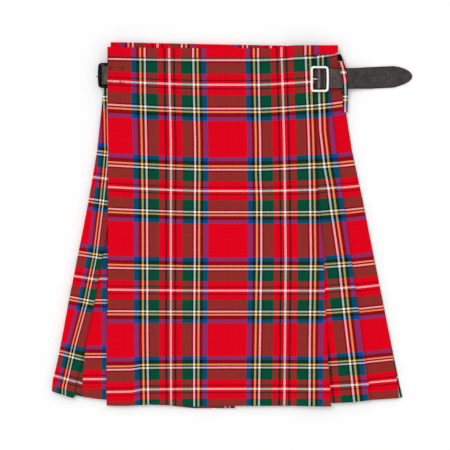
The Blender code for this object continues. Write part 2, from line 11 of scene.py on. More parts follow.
import bmesh
import bpy
import numpy as np
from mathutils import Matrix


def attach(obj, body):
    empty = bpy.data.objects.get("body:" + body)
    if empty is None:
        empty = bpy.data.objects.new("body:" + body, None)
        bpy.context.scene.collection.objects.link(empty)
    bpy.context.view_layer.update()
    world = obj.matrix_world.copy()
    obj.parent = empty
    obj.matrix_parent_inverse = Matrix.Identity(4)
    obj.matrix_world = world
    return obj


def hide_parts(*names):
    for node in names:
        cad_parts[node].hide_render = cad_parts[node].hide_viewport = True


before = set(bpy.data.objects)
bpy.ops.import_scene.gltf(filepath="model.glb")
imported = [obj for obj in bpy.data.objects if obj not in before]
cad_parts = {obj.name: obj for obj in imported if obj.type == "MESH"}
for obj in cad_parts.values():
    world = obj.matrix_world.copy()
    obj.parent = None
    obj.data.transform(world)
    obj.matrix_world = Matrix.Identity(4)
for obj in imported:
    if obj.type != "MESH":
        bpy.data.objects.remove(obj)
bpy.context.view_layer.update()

# Cloth: the wall of the solid and of the thin shell, the step between layers, the gap at a seam, and how far
# apart the rows of points are where the cloth shows and where it is hidden
CLOTH = 0.0010
SHELL = 0.0009
LAYER = 0.0014
SEAM = 0.0003
ROW = 0.0026
HIDDEN_ROW = 0.0050

# Threads in each metre: of the flat cloth, one each 0.5 mm, and where it is drawn in or lies aslant.
THREADS = 2000.0
RIGHT_THREADS = 1848.0
LEFT_THREADS = 2348.0
LAST_THREADS = 2400.0
LOOP_THREADS = 1835.0

# Waistband
BAND_LOW = 0.2675
BAND_RISE = 0.0055
BAND_ARCH = ((-0.199, 0.0022), (-0.171, 0.0013), (-0.120, -0.0002), (0.020, -0.0002), (0.077, 0.0005),
             (0.109, 0.0016), (0.135, 0.0016), (0.170, 0.0030))
BAND_STEP_UP = 0.266
BAND_STEP_DOWN = 0.258
SIDE_TOP = 0.280
LIP = 0.0011
BAND_END = 0.1695
BAND_SIDE_LAYER = 6.2

# Pleats and the hidden depths of the folds
PLEATS = 14
PLEAT_CLEAR = 0.008
PLEAT_DROP = 0.0045
RIGHT_JOIN = 0.008
LEFT_JOIN = 0.0105
TUCK = 0.018
SIDE_TUCK = 0.014
LEFT_TUCK = 0.016
UNDERLAY_REACH = 0.022
UNDER_STEP = (0.026, 0.045)
UNDER_END = 0.030
TIP_SHARE = 0.2
ROLL_STEPS = 10
FOLD_STEPS = 6

# Straps and buckles
STRAP = 0.0016
STRAP_WIDTH = 0.033
LEFT_STRAP_WIDTH = 0.0326
RIGHT_STRAP_Y = 0.2334
LEFT_STRAP_Y = 0.2395
LEFT_PRONG_Y = 0.2375
RIGHT_BAR_X = 0.1398
LEFT_BAR_X = -0.1995
FRAME_LONG = 0.0285
FRAME_WIDE = 0.0414
LEFT_FRAME_WIDE = 0.0402
FRAME_WIRE = 0.0036
FRAME_FLAT = 0.6
FRAME_CORNER = 0.0036
BAR_RADIUS = 0.0009
PRONG_RADIUS = 0.0005
CHAPE = 0.0010
HOLE_RADIUS = 0.0012
SLOT_RADIUS = 0.0013
STRAP_SIDES = 48
STRAP_HOLES = (0.1656, 0.1968, 0.2124, 0.2280, 0.2436)
RIGHT_LIFT = 0.0021
LEFT_LIFT = 0.0054

# The middle line of the right strap, which lies a little askew, and how it narrows to its tip.
RIGHT_STRAP_LINE = ((0.119, 0.2336), (0.140, 0.2337), (0.165, 0.2347), (0.186, 0.2348),
                    (0.221, 0.2361), (0.237, 0.2369), (0.258, 0.2379), (0.270, 0.2387), (0.289, 0.2389))
RIGHT_STRAP_TIP = ((0.185, 1.0), (0.205, 1.02), (0.221, 1.05), (0.252, 1.045), (0.2592, 1.04),
                   (0.2656, 0.955), (0.272, 0.843), (0.2784, 0.70), (0.2832, 0.52), (0.2864, 0.36),
                   (0.2880, 0.22), (0.2890, 0.05))

# Where each fold runs, from the waist down. Every column after the first is an x at that y.
COLUMNS = ("y", "left", "left_pleat", "inverted", "apron", "tuck", "side_pleat", "last_pleat", "right")
SECTIONS = np.array([
    (0.295, -0.193, -0.162, -0.170, -0.1992, 0.129, 0.154, 0.1675, 0.1685),
    (0.266, -0.199, -0.165, -0.173, -0.1988, 0.131, 0.155, 0.1694, 0.1704),
    (0.240, -0.203, -0.167, -0.175, -0.1985, 0.131, 0.156, 0.1726, 0.1736),
    (0.200, -0.2077, -0.171, -0.179, -0.1990, 0.1315, 0.1584, 0.1790, 0.1800),
    (0.120, -0.216, -0.180, -0.188, -0.1982, 0.136, 0.1672, 0.1913, 0.1923),
    (0.040, -0.2296, -0.191, -0.200, -0.1982, 0.1385, 0.1784, 0.2086, 0.2096),
    (-0.040, -0.2453, -0.2053, -0.214, -0.1986, 0.1464, 0.1888, 0.2244, 0.2254),
    (-0.120, -0.2613, -0.2197, -0.229, -0.1990, 0.1494, 0.2000, 0.2404, 0.2414),
    (-0.200, -0.2760, -0.2374, -0.2352, -0.2008, 0.1530, 0.2115, 0.2560, 0.2572),
    (-0.256, -0.2874, -0.2504, -0.2395, -0.2010, 0.1568, 0.2197, 0.2655, 0.2690),
    (-0.290, -0.2896, -0.2555, -0.2410, -0.2006, 0.1584, 0.2225, 0.2685, 0.2765),
])

# The edges of each piece at the waist and at the hem: y at an x.
FRONT_TOP = ((-0.199, 0.2845), (-0.051, 0.2832), (0.069, 0.2832), (0.093, 0.2874), (0.170, 0.2882))
UNDER_TOP = ((-0.193, 0.2931), (-0.083, 0.2909), (0.077, 0.2878), (0.110, 0.2868))
FRONT_HEM = ((-0.201, -0.2888), (-0.172, -0.2893), (-0.131, -0.2872), (-0.062, -0.2902),
             (0.009, -0.2893), (0.094, -0.2891), (0.157, -0.2900))
RIGHT_HEM = ((0.110, -0.2838), (0.158, -0.2848), (0.190, -0.2836), (0.221, -0.2801), (0.267, -0.2770),
             (0.276, -0.2747))
LEFT_HEM = ((-0.292, -0.2645), (-0.2815, -0.2680), (-0.2545, -0.2768), (-0.250, -0.2722),
            (-0.240, -0.2746), (-0.210, -0.276))
UNDER_HEM = ((-0.240, -0.2746), (-0.218, -0.2778), (-0.198, -0.2798), (0.120, -0.2830))
BACK_HEM = ((-0.292, -0.2645), (-0.2815, -0.2680), (-0.240, -0.2730), (-0.150, -0.2830),
            (-0.064, -0.2931), (0.006, -0.2931), (0.009, -0.2860), (0.158, -0.2810), (0.267, -0.2770),
            (0.276, -0.2747))
FRONT_ENDS = (0.285, -0.289)
SIDE_ENDS = (SIDE_TOP, -0.276)
EDGE_REACH = 0.060

# How high the front apron lies, in layers, beside its left edge and in its middle.
APRON_LAYERS = np.array([
    (0.266, 7.0, 5.2), (0.258, 7.0, 5.0), (0.200, 7.0, 4.4), (0.120, 7.0, 4.3),
    (-0.014, 7.0, 4.3), (-0.040, 6.3, 4.3), (-0.080, 5.4, 4.3), (-0.120, 4.9, 4.3),
    (-0.200, 4.7, 4.3), (-0.289, 4.6, 4.3),
])
TUCK_LAYER = 7.0
APRON_POINTS = 130

# How much the apron rises over the straps: (y, share of the left lift, share of the right lift).
STRAP_RISE = np.array([
    (0.290, 0.4, 0.3), (0.266, 0.95, 0.6), (0.258, 1.0, 1.0), (0.216, 1.0, 1.0), (0.200, 0.5, 0.5),
    (0.160, 0.1, 0.1), (0.120, 0.0, 0.0),
])

# The tartan: half a repeat of the warp and of the weft, from one pivot to the other.
WARP = (("white", 3), ("red", 8), ("black", 7), ("red", 18), ("green", 31), ("black", 5),
        ("white", 6), ("black", 8), ("yellow", 6), ("black", 10), ("blue", 16), ("red", 64))
WEFT = (("white", 3), ("red", 7), ("black", 4), ("red", 17), ("green", 32), ("black", 5),
        ("white", 5), ("black", 5), ("yellow", 5), ("black", 12), ("blue", 12), ("red", 53))
WARP_REPEAT = 2 * sum(count for _, count in WARP)
WEFT_REPEAT = 2 * sum(count for _, count in WEFT)
BLEND = 1.45
RAMP_STEPS = 255
PALE_WARP = 75
PALE_WEFT = 70

# Painted shade beside the right strap's bends and a painted highlight on its ridge over the bar: (x, share of
# tone).
SHADING_FROM = 0.125
SHADING_TO = 0.200
SHADING_TOP = 4.0
# Painted shade on the left strap's bend: darkest left of the first x.
LEFT_BEND_SHADE = (-0.2083, -0.2073)
LEATHER_SHADE_AND_HIGHLIGHT = (
    (0.1250, 1.5), (0.1294, 1.5), (0.1297, 0.05), (0.1312, 0.05), (0.1328, 1.0), (0.1374, 1.1),
    (0.1384, 3.2), (0.1402, 3.0), (0.1412, 0.4), (0.1425, 0.7), (0.1462, 0.5), (0.1474, 1.5),
    (0.1485, 1.3), (0.1495, 0.1), (0.1545, 0.2), (0.1555, 1.5), (0.1700, 1.5), (0.1800, 0.9),
)

YARN = {
    "red": "#DB0019", "black": "#0D0F11", "green": "#024A34", "blue": "#004A93",
    "white": "#FFFCF8", "yellow": "#FFD278",
}

# Sizes of the grains: of worn patches and of pores on the leather, and of uneven polish.
MOTTLE = 1 / 110
GRAIN = 1 / 1500
POLISH = 1 / 260

# Where six pale warp stripes of the front apron run: an x for each at every y.
APRON_STRIPES = (-PALE_WARP, 0, PALE_WARP, WARP_REPEAT - PALE_WARP, WARP_REPEAT, WARP_REPEAT + PALE_WARP)
APRON_WARP = np.array([
    (0.2803, -0.1397, -0.1006, -0.0621, 0.0416, 0.0790, 0.1173),
    (0.2083, -0.1392, -0.0996, -0.0609, 0.0432, 0.0815, 0.1200),
    (0.1363, -0.1376, -0.0979, -0.0590, 0.0450, 0.0832, 0.1229),
    (0.0803, -0.1366, -0.0977, -0.0588, 0.0453, 0.0844, 0.1243),
    (0.0403, -0.1360, -0.0979, -0.0594, 0.0469, 0.0848, 0.1250),
    (-0.0557, -0.1357, -0.0979, -0.0596, 0.0469, 0.0860, 0.1264),
    (-0.1837, -0.1354, -0.0979, -0.0606, 0.0447, 0.0848, 0.1243),
    (-0.2877, -0.1341, -0.0976, -0.0605, 0.0431, 0.0837, 0.1240),
])

# The pale warp stripe of the right pleat and of the left one: (y, x).
RIGHT_STRIPE = np.array([
    (0.2643, 0.1386), (0.1523, 0.1419), (0.0931, 0.1486), (0.0579, 0.1552), (0.0227, 0.1598),
    (-0.0557, 0.1716), (-0.1325, 0.1794), (-0.2173, 0.1894), (-0.2557, 0.1939), (-0.2805, 0.1970),
])
LEFT_STRIPE = np.array([
    (0.2500, -0.2050), (0.2163, -0.2043), (0.1600, -0.2020), (0.1171, -0.2003), (0.0755, -0.2034),
    (0.0403, -0.2067), (-0.0493, -0.2168), (-0.1245, -0.2322), (-0.1917, -0.2517), (-0.2637, -0.2677),
])

# Which weft thread of the front apron lies at each y of its middle: (y, thread). How far the threads are
# pulled up towards its left and right sides and beyond the crease at its left: (y, left, right, corner).
APRON_WEFT = np.array([
    # Above y 0.2655 the weft stays on the black stripe up under the band: the dark strip under the band's
    # edge is partly that stripe and partly painted shade.
    (0.3000, -76), (0.2655, -74), (0.2635, -PALE_WEFT), (0.2248, 0), (0.1868, PALE_WEFT),
    (0.0885, 250), (0.0548, 320), (0.0213, 390), (-0.0710, 570), (-0.1048, 640), (-0.1380, 710),
    (-0.2282, 890), (-0.2620, 960), (-0.2950, 1026),
])
APRON_BEND = np.array([
    (0.2635, 0.0015, 0.0040, 0.0), (0.2248, 0.0058, 0.0046, 0.0), (0.1868, 0.0061, 0.0048, 0.0),
    (0.0885, 0.0067, 0.0034, 0.0), (0.0548, 0.0061, 0.0018, 0.0), (0.0213, 0.0050, 0.0003, 0.0),
    (-0.0710, 0.0024, 0.0, 0.0), (-0.1380, 0.0008, 0.0, 0.0), (-0.2282, -0.0012, 0.0, -0.0021),
    (-0.2620, -0.0016, 0.0, -0.0032),
])

# Which weft thread of a side lies at each y: (y, thread, how much the thread rises to the right there).
RIGHT_WEFT = np.array([
    (0.3100, -76, 0.16), (0.2736, -74, 0.16), (0.2716, -PALE_WEFT, 0.16), (0.2326, 0, 0.115),
    (0.1946, PALE_WEFT, 0.11), (0.0933, 250, 0.064), (0.0594, 320, 0.060), (0.0230, 390, 0.075),
    (-0.0672, 570, 0.070), (-0.1018, 640, 0.072), (-0.1352, 710, 0.067), (-0.2194, 880, 0.066),
    (-0.2576, 960, 0.055), (-0.2950, 1035, 0.05),
])
LEFT_WEFT = np.array([
    (0.3200, -140, -0.08), (0.2840, -PALE_WEFT, -0.08), (0.2432, 0, -0.02), (0.2056, 70, -0.02),
    (0.2003, 80, -0.02), (0.1500, 177, -0.10), (0.0747, 320, -0.13), (0.0395, 390, -0.15),
    (-0.0469, 560, -0.15), (-0.0858, 640, -0.16), (-0.1243, 720, -0.19), (-0.2064, 880, -0.25),
    (-0.2464, 960, -0.27), (-0.2900, 1047, -0.27),
])
RIGHT_WEFT_X = 0.1568
NEXT_PLEAT = ((-0.300, 0.0), (-0.100, 0.0), (0.135, -0.0018), (0.219, 0.0005), (0.258, 0.0022))
NEXT_PLEAT_SLOPE = 0.04
TIP_UP = 0.0040
LOOP_TURN = 0.2620
LOOP_BLACK = (96.5, 88.5)
LOOP_WEFT_Y = 0.2443

# Warp threads at the waist: where the front apron is charted, and how far the inner apron is shifted there.
WAIST_Y = 0.2803
UNDER_SHIFT = ((-0.19, 0.08), (0.0192, 0.0168))
UNDER_HEM_THREAD = (-110, 0.2045)

# Warp threads along the folds: of the second right pleat, the last one, the roll at its right, the first
# back pleat, and how far the two ends of the left roll lie from the left pleat's first thread.
SECOND_THREAD = 128
LAST_THREAD = (260, 262)
RIGHT_THREAD = (299, 301)
BACK_THREAD = 310.0
ROLL_THREADS = (48, 27)

# The keeper: (y, inner x, outer x).
LOOP_SECTIONS = np.array([
    (0.2735, 0.1692, 0.1742), (0.2640, 0.1698, 0.1782), (0.2580, 0.1702, 0.1800),
    (0.2530, 0.1717, 0.1815), (0.2330, 0.1762, 0.1850), (0.2160, 0.1770, 0.1856),
    (0.2110, 0.1774, 0.1856), (0.2050, 0.1776, 0.1856), (0.1810, 0.1773, 0.1850),
])

# Soft creases: a line from (x, y) to (x, y), its half width and its height. Low values are troughs.
APRON_CREASES = (
    (-0.186, 0.168, -0.120, 0.176, 0.0060, 0.0007), (-0.176, 0.196, -0.104, 0.188, 0.0050, -0.0004),
    (-0.168, 0.142, -0.128, 0.150, 0.0070, 0.0005), (-0.070, 0.236, -0.052, 0.130, 0.0090, 0.0006),
    (0.012, 0.228, 0.004, 0.150, 0.0080, 0.0005), (0.060, 0.240, 0.078, 0.120, 0.0100, 0.0007),
    (-0.130, -0.100, -0.150, -0.284, 0.0150, 0.0008), (-0.030, -0.120, -0.046, -0.286, 0.0180, 0.0009),
    (0.040, -0.060, 0.052, -0.286, 0.0170, 0.0008), (0.112, -0.130, 0.120, -0.288, 0.0120, 0.0007),
    (-0.090, 0.060, -0.100, -0.060, 0.0160, 0.0005), (0.020, 0.040, 0.028, -0.030, 0.0200, -0.0003),
    (-0.010, -0.180, -0.004, -0.284, 0.0080, -0.0003), (0.082, -0.200, 0.088, -0.286, 0.0080, -0.0003),
)
RIGHT_CREASES = (
    (0.158, -0.080, 0.184, -0.282, 0.0110, 0.0006), (0.206, -0.120, 0.236, -0.280, 0.0110, -0.0002),
)

# The sewing beside the left buckle: the box's left, right, top and low edges, three tacks and an edge row.
STITCHED_BOX = (-0.1958, -0.1732, 0.2523, 0.2243)
STRAP_TACKS = (
    ((-0.1965, 0.2539), (-0.1939, 0.2502), (-0.1910, 0.2528)),
    ((-0.1768, 0.2534), (-0.1739, 0.2499), (-0.1720, 0.2523)),
    ((-0.1795, 0.2299), (-0.1763, 0.2251), (-0.1744, 0.2224)),
)
# The edge row is drawn thick and close, so it also paints the shade along the apron's left edge.
EDGE_ROW = ((-0.1981, 0.2688), (-0.1978, 0.2560))


def tone(code):
    """The linear colour of an sRGB hex code."""
    values = [int(code[i:i + 2], 16) / 255 for i in (1, 3, 5)]
    return tuple(v / 12.92 if v <= 0.04045 else ((v + 0.055) / 1.055) ** 2.4 for v in values)


def at_row(table, y, index=1):
    """A column of a table whose rows run down the page, read at y in straight steps."""
    return np.interp(-y, -table[:, 0], table[:, index])


def column(name, y):
    """The x of a fold line at y."""
    return at_row(SECTIONS, y, COLUMNS.index(name))


def line(points, x):
    """The second value of an edge's points at x, in straight steps."""
    table = np.array(points)
    return np.interp(x, table[:, 0], table[:, 1])


def smooth(share):
    """A soft step from 0 to 1."""
    share = np.clip(share, 0, 1)
    return share * share * (3 - 2 * share)


def band_lift(y):
    """The pleats climb one layer onto the back waistband."""
    return LAYER * smooth((y - BAND_STEP_DOWN) / (BAND_STEP_UP - BAND_STEP_DOWN))


def layer_z(layer, y):
    """The middle of the wall of a numbered layer."""
    return CLOTH / 2 + LAYER * layer + band_lift(y)


def strap_lift(x, y, tuck):
    """How much the front apron rises over the straps and the left buckle: a share by y times a share by x."""
    beside_left = np.interp(x, (-0.181, -0.150), (1.0, 0.0))
    beside_right = np.clip((x - tuck + 0.045) / 0.025, 0, 1)
    left_share = at_row(STRAP_RISE, y) * beside_left
    right_share = at_row(STRAP_RISE, y, 2) * beside_right
    return LEFT_LIFT * left_share + RIGHT_LIFT * right_share


def creases(x, y, table):
    """Soft ridges and troughs: a bell across each line that fades out towards both of its ends."""
    height = np.zeros(np.broadcast(x, y).shape)
    for x0, y0, x1, y1, width, rise in table:
        length = math.hypot(x1 - x0, y1 - y0)
        along = ((x - x0) * (x1 - x0) + (y - y0) * (y1 - y0)) / length ** 2
        across = ((x - x0) * (y1 - y0) - (y - y0) * (x1 - x0)) / length
        ends = smooth(along / 0.3) * smooth((1 - along) / 0.25 + 0.4 * (y1 < -0.28))
        height = height + rise * np.exp(-(across / width) ** 2) * ends
    return height


def ripple(x, y):
    """The small unevenness of pressed cloth: four slow waves that cross one another."""
    waves = ((61.0, 23.0, 0.4), (-37.0, 71.0, 1.9), (113.0, -47.0, 0.9), (29.0, 131.0, 2.6))
    return sum(0.00005 * np.sin(a * x + b * y + c) for a, b, c in waves)


def weft_at(table, x, y, middle):
    """The number of the weft thread at (x, y). The table's threads slope about x = middle."""
    return at_row(table, y - at_row(table, y, 2) * (x - middle))


def apron_warp(x, y):
    """The number of the warp thread of the front apron at (x, y).

    It climbs in straight steps from one pale stripe to the next, and past the outer two by the flat cloth's
    own threads.
    """
    stripes = [at_row(APRON_WARP, y, i) for i in range(1, len(APRON_STRIPES) + 1)]
    number = APRON_STRIPES[0] + THREADS * (np.minimum(x - stripes[0], 0) + np.maximum(x - stripes[-1], 0))
    for left, right, first, last in zip(stripes, stripes[1:], APRON_STRIPES, APRON_STRIPES[1:]):
        number = number + (last - first) * np.clip((x - left) / (right - left), 0, 1)
    return number


def apron_weft(x, y):
    """The weft thread of the front apron. A thread runs level in the middle and bends up to both sides.

    The bend is a power of the distance from the middle, times what APRON_BEND says at that y.
    """
    left, right, corner = (at_row(APRON_BEND, y, i) for i in (1, 2, 3))
    bend = left * np.clip((-0.045 - x) / 0.150, 0, 1.1) ** 1.3
    bend = bend + right * np.clip((x - 0.045) / 0.085, 0, 1.3) ** 1.2
    bend = bend + corner * smooth((-0.142 - x) / 0.022)
    return at_row(APRON_WEFT, y - bend)


def walk(y, runs):
    """The middle line of folded cloth: grids of x, z and warp thread, with a row of points for each y.

    Each run is (start x, end x, layer, points, start thread, end thread). It goes straight along its layer,
    and half a circle folds it onto the next one. The outside of a fold reaches the x where its run ends.
    """
    x, z, warp = [], [], []
    begin = runs[0][0]
    for run, after in zip(runs, runs[1:] + [None]):
        start, end, layer, count, first, last = run
        way = np.sign(end - start)
        turn = LAYER * abs(after[2] - layer) / 2 if after else 0.0
        stop = end - way * (CLOTH / 2 + turn) if after else end
        share = np.linspace(0, 1, count)
        x.append(begin + (stop - begin) * share)
        z.append(layer_z(layer, y) + 0 * share)
        warp.append(first + (last - first) * share)
        if after:
            steps = ROLL_STEPS if turn > 2 * LAYER else FOLD_STEPS
            share = np.arange(1, steps) / steps
            middle = layer_z((layer + after[2]) / 2, y)
            x.append(stop + way * turn * np.sin(math.pi * share))
            z.append(middle + np.sign(layer - after[2]) * turn * np.cos(math.pi * share))
            warp.append(last + (after[4] - last) * share)
            begin = stop
    return (np.hstack([np.broadcast_to(part, (len(y), part.shape[-1])) for part in parts])
            for parts in (x, z, warp))


def wall_sides(points, thickness):
    """Both sides of lines of (x, z) points, half a wall away from each along the mitre of its two steps."""
    steps = np.diff(points, axis=-2)
    steps = steps / np.linalg.norm(steps, axis=-1)[..., None]
    before = np.concatenate([steps[..., :1, :], steps], axis=-2)
    after = np.concatenate([steps, steps[..., -1:, :]], axis=-2)
    normal = np.stack([-(before[..., 1] + after[..., 1]), before[..., 0] + after[..., 0]], axis=-1)
    normal = normal / np.linalg.norm(normal, axis=-1)[..., None]
    bend = np.abs(normal[..., 0] * -after[..., 1] + normal[..., 1] * after[..., 0])
    reach = thickness / 2 / np.maximum(bend, 0.6)
    return points + normal * reach[..., None], points - normal * reach[..., None]


def mesh_object(name, points, faces, material, threads=None):
    """A smooth object from points and lists of faces. Its UV map holds a pair of numbers for each point."""
    mesh = bpy.data.meshes.new(name)
    mesh.from_pydata(points.tolist(), [], faces)
    if threads is not None:
        order = np.empty(len(mesh.loops), dtype=np.int32)
        mesh.loops.foreach_get("vertex_index", order)
        layer = mesh.uv_layers.new(name="weave")
        layer.data.foreach_set("uv", threads[order].astype(np.float32).ravel())
    mesh.shade_smooth()
    mesh.materials.append(material)
    made = bpy.data.objects.new(name, mesh)
    bpy.context.scene.collection.objects.link(made)
    return made


def shell(name, upper, lower, threads):
    """A closed shell between two grids of points, rows by columns, that faces outward.

    The rim has points of its own. The volume is the sum of a . (b x c) / 6 over the triangles.
    """
    rows, columns = upper.shape[:2]
    number = np.arange(rows * columns).reshape(rows, columns)
    a, b, c, d = number[:-1, :-1], number[1:, :-1], number[1:, 1:], number[:-1, 1:]
    top = np.stack([a, b, c, d], axis=-1).reshape(-1, 4)
    bottom = np.stack([a, d, c, b], axis=-1).reshape(-1, 4) + rows * columns
    ring = np.concatenate([number[0, :-1], number[:-1, -1], number[-1, :0:-1], number[:0:-1, 0]])
    rim = np.concatenate([ring, ring + rows * columns])
    points = np.concatenate([upper.reshape(-1, 3), lower.reshape(-1, 3)])
    points = np.concatenate([points, points[rim]])
    threads = np.concatenate([threads.reshape(-1, 2)] * 2)
    threads = np.concatenate([threads, threads[rim]])
    here = 2 * rows * columns + np.arange(len(ring))
    following = np.roll(here, -1)
    edge = np.stack([here, following, following + len(ring), here + len(ring)], axis=-1)
    faces = np.concatenate([top, bottom, edge])
    a, b, c, d = (points[faces[:, corner]] for corner in range(4))
    if (a * (np.cross(b, c) + np.cross(c, d))).sum() < 0:
        faces = faces[:, ::-1]
    return mesh_object(name, points, faces.tolist(), TARTAN, threads)


def outward(obj):
    """Turns every face of a closed mesh to the outside."""
    clean = bmesh.new()
    clean.from_mesh(obj.data)
    bmesh.ops.recalc_face_normals(clean, faces=clean.faces)
    clean.to_mesh(obj.data)
    clean.free()
    return obj


def page_y(row, x, ends, hem):
    """A row's y at x: near the hem it follows the piece's own edge."""
    near_hem = np.clip(1 - (row - ends[1]) / EDGE_REACH, 0, 1)
    return row + near_hem * (line(hem, x) - ends[1])


def row_places(ends, pitch=ROW):
    """The rows from the waist to the hem, as one column."""
    return np.linspace(ends[0], ends[1], int(round((ends[0] - ends[1]) / pitch)) + 1)[:, None]


def panel(name, ends, hem, row, section, weft, rise=0.0, shift=0.0):
    """A stretch of cloth from its section, grids of x, z and warp thread, and the weft thread at each point.

    Both sides are half a wall away from the section. rise is added to z and shift to y.
    """
    x, z, warp = section
    sides = []
    for side in wall_sides(np.stack([x, z], axis=-1), SHELL):
        side_x, side_z = side[..., 0], side[..., 1] + rise
        sides.append(np.stack([side_x, page_y(row, side_x, ends, hem) + shift, side_z], axis=-1))
    return shell(name, *sides, np.stack([warp, weft], axis=-1))


# Materials


def add(tree, kind, inputs, **settings):
    """Adds a shader node, sets its options, and fills its inputs with values or links."""
    made = tree.nodes.new(kind)
    for key, value in settings.items():
        setattr(made, key, value)
    for key, value in inputs.items():
        if isinstance(value, bpy.types.NodeSocket):
            tree.links.new(value, made.inputs[key])
        else:
            made.inputs[key].default_value = value
    return made


def sums(tree, operation, first, second=0.0):
    """The result of one sum on two values or links."""
    return add(tree, "ShaderNodeMath", {0: first, 1: second}, operation=operation).outputs[0]


def new_material(name):
    """A material with its tree and its Principled shader."""
    material = bpy.data.materials.new(name)
    material.use_nodes = True
    return material, material.node_tree, material.node_tree.nodes["Principled BSDF"]


def yarn_colour(tree, thread, chart):
    """The chart's colour for a thread number, read forward and back between its pivots."""
    half = sum(count for _, count in chart)
    whole = sums(tree, "ADD", sums(tree, "FLOOR", thread), 0.5)
    share = sums(tree, "DIVIDE", sums(tree, "PINGPONG", whole, half), half)
    ramp = add(tree, "ShaderNodeValToRGB", {"Fac": share})
    ramp.color_ramp.interpolation = "CONSTANT"
    stops = ramp.color_ramp.elements
    start = 0
    for index, (yarn, count) in enumerate(chart):
        place = max(0.0, start / half - 0.5 / RAMP_STEPS)
        stop = stops[index] if index < 2 else stops.new(place)
        stop.position = place
        stop.color = tone(YARN[yarn]) + (1.0,)
        start += count
    return ramp.outputs["Color"]


def wool():
    """Worsted wool in a two-up, two-down twill: a warp thread shows where (warp + weft) mod 4 is below 2.

    Dyed and pressed yarn gives flat, matt colours. Two crossing colours blend, and the single threads show
    half as strong as they are. Each thread differs a little in brightness, and is round in the relief.
    """
    material, tree, shader = new_material("worsted_wool_tartan")
    place = add(tree, "ShaderNodeUVMap", {}, uv_map="weave").outputs["UV"]
    axes = add(tree, "ShaderNodeSeparateXYZ", {"Vector": place})
    warp_thread = axes.outputs["X"]
    weft_thread = axes.outputs["Y"]
    warp = yarn_colour(tree, warp_thread, WARP)
    weft = yarn_colour(tree, weft_thread, WEFT)
    step = sums(tree, "ADD", sums(tree, "FLOOR", warp_thread), sums(tree, "FLOOR", weft_thread))
    over = sums(tree, "LESS_THAN", sums(tree, "FLOORED_MODULO", step, 4.0), 2.0)

    soft_warp = add(tree, "ShaderNodeGamma", {"Color": warp, "Gamma": 1 / BLEND}).outputs[0]
    soft_weft = add(tree, "ShaderNodeGamma", {"Color": weft, "Gamma": 1 / BLEND}).outputs[0]
    even = add(tree, "ShaderNodeMix", {0: 0.5, 6: soft_warp, 7: soft_weft}, data_type="RGBA").outputs[2]
    blend = add(tree, "ShaderNodeGamma", {"Color": even, "Gamma": BLEND}).outputs[0]
    thread = add(tree, "ShaderNodeMix", {0: over, 6: weft, 7: warp}, data_type="RGBA").outputs[2]
    middle = add(tree, "ShaderNodeMix", {0: 0.5, 6: warp, 7: weft}, data_type="RGBA").outputs[2]
    apart = add(tree, "ShaderNodeVectorMath", {0: thread, 1: middle}, operation="SUBTRACT").outputs[0]
    apart = add(tree, "ShaderNodeVectorMath", {0: apart, "Scale": 0.5}, operation="SCALE").outputs[0]
    mixed = add(tree, "ShaderNodeVectorMath", {0: blend, 1: apart}, operation="ADD").outputs[0]
    mixed = add(tree, "ShaderNodeVectorMath", {0: mixed, 1: (0.0, 0.0, 0.0)}, operation="MAXIMUM").outputs[0]

    uneven_warp = add(tree, "ShaderNodeTexWhiteNoise", {"W": sums(tree, "FLOOR", warp_thread)},
                      noise_dimensions="1D").outputs["Value"]
    uneven_weft = add(tree, "ShaderNodeTexWhiteNoise", {"W": sums(tree, "FLOOR", weft_thread)},
                      noise_dimensions="1D").outputs["Value"]
    uneven = sums(tree, "ADD", uneven_warp, uneven_weft)
    bright = add(tree, "ShaderNodeMapRange", {0: uneven, 1: 0.0, 2: 2.0, 3: 0.90, 4: 1.10}).outputs[0]
    final = add(tree, "ShaderNodeVectorMath", {0: mixed, "Scale": bright}, operation="SCALE").outputs[0]
    tree.links.new(final, shader.inputs["Base Color"])

    warp_round = sums(tree, "SINE", sums(tree, "MULTIPLY", sums(tree, "FRACT", warp_thread), math.pi))
    weft_round = sums(tree, "SINE", sums(tree, "MULTIPLY", sums(tree, "FRACT", weft_thread), math.pi))
    relief = add(tree, "ShaderNodeMix", {0: over, 2: weft_round, 3: warp_round}).outputs[0]
    bump = add(tree, "ShaderNodeBump", {"Strength": 0.5, "Distance": 0.00012, "Height": relief}).outputs[0]
    tree.links.new(bump, shader.inputs["Normal"])
    shader.inputs["Roughness"].default_value = 0.85
    shader.inputs["Specular IOR Level"].default_value = 0.04
    return material


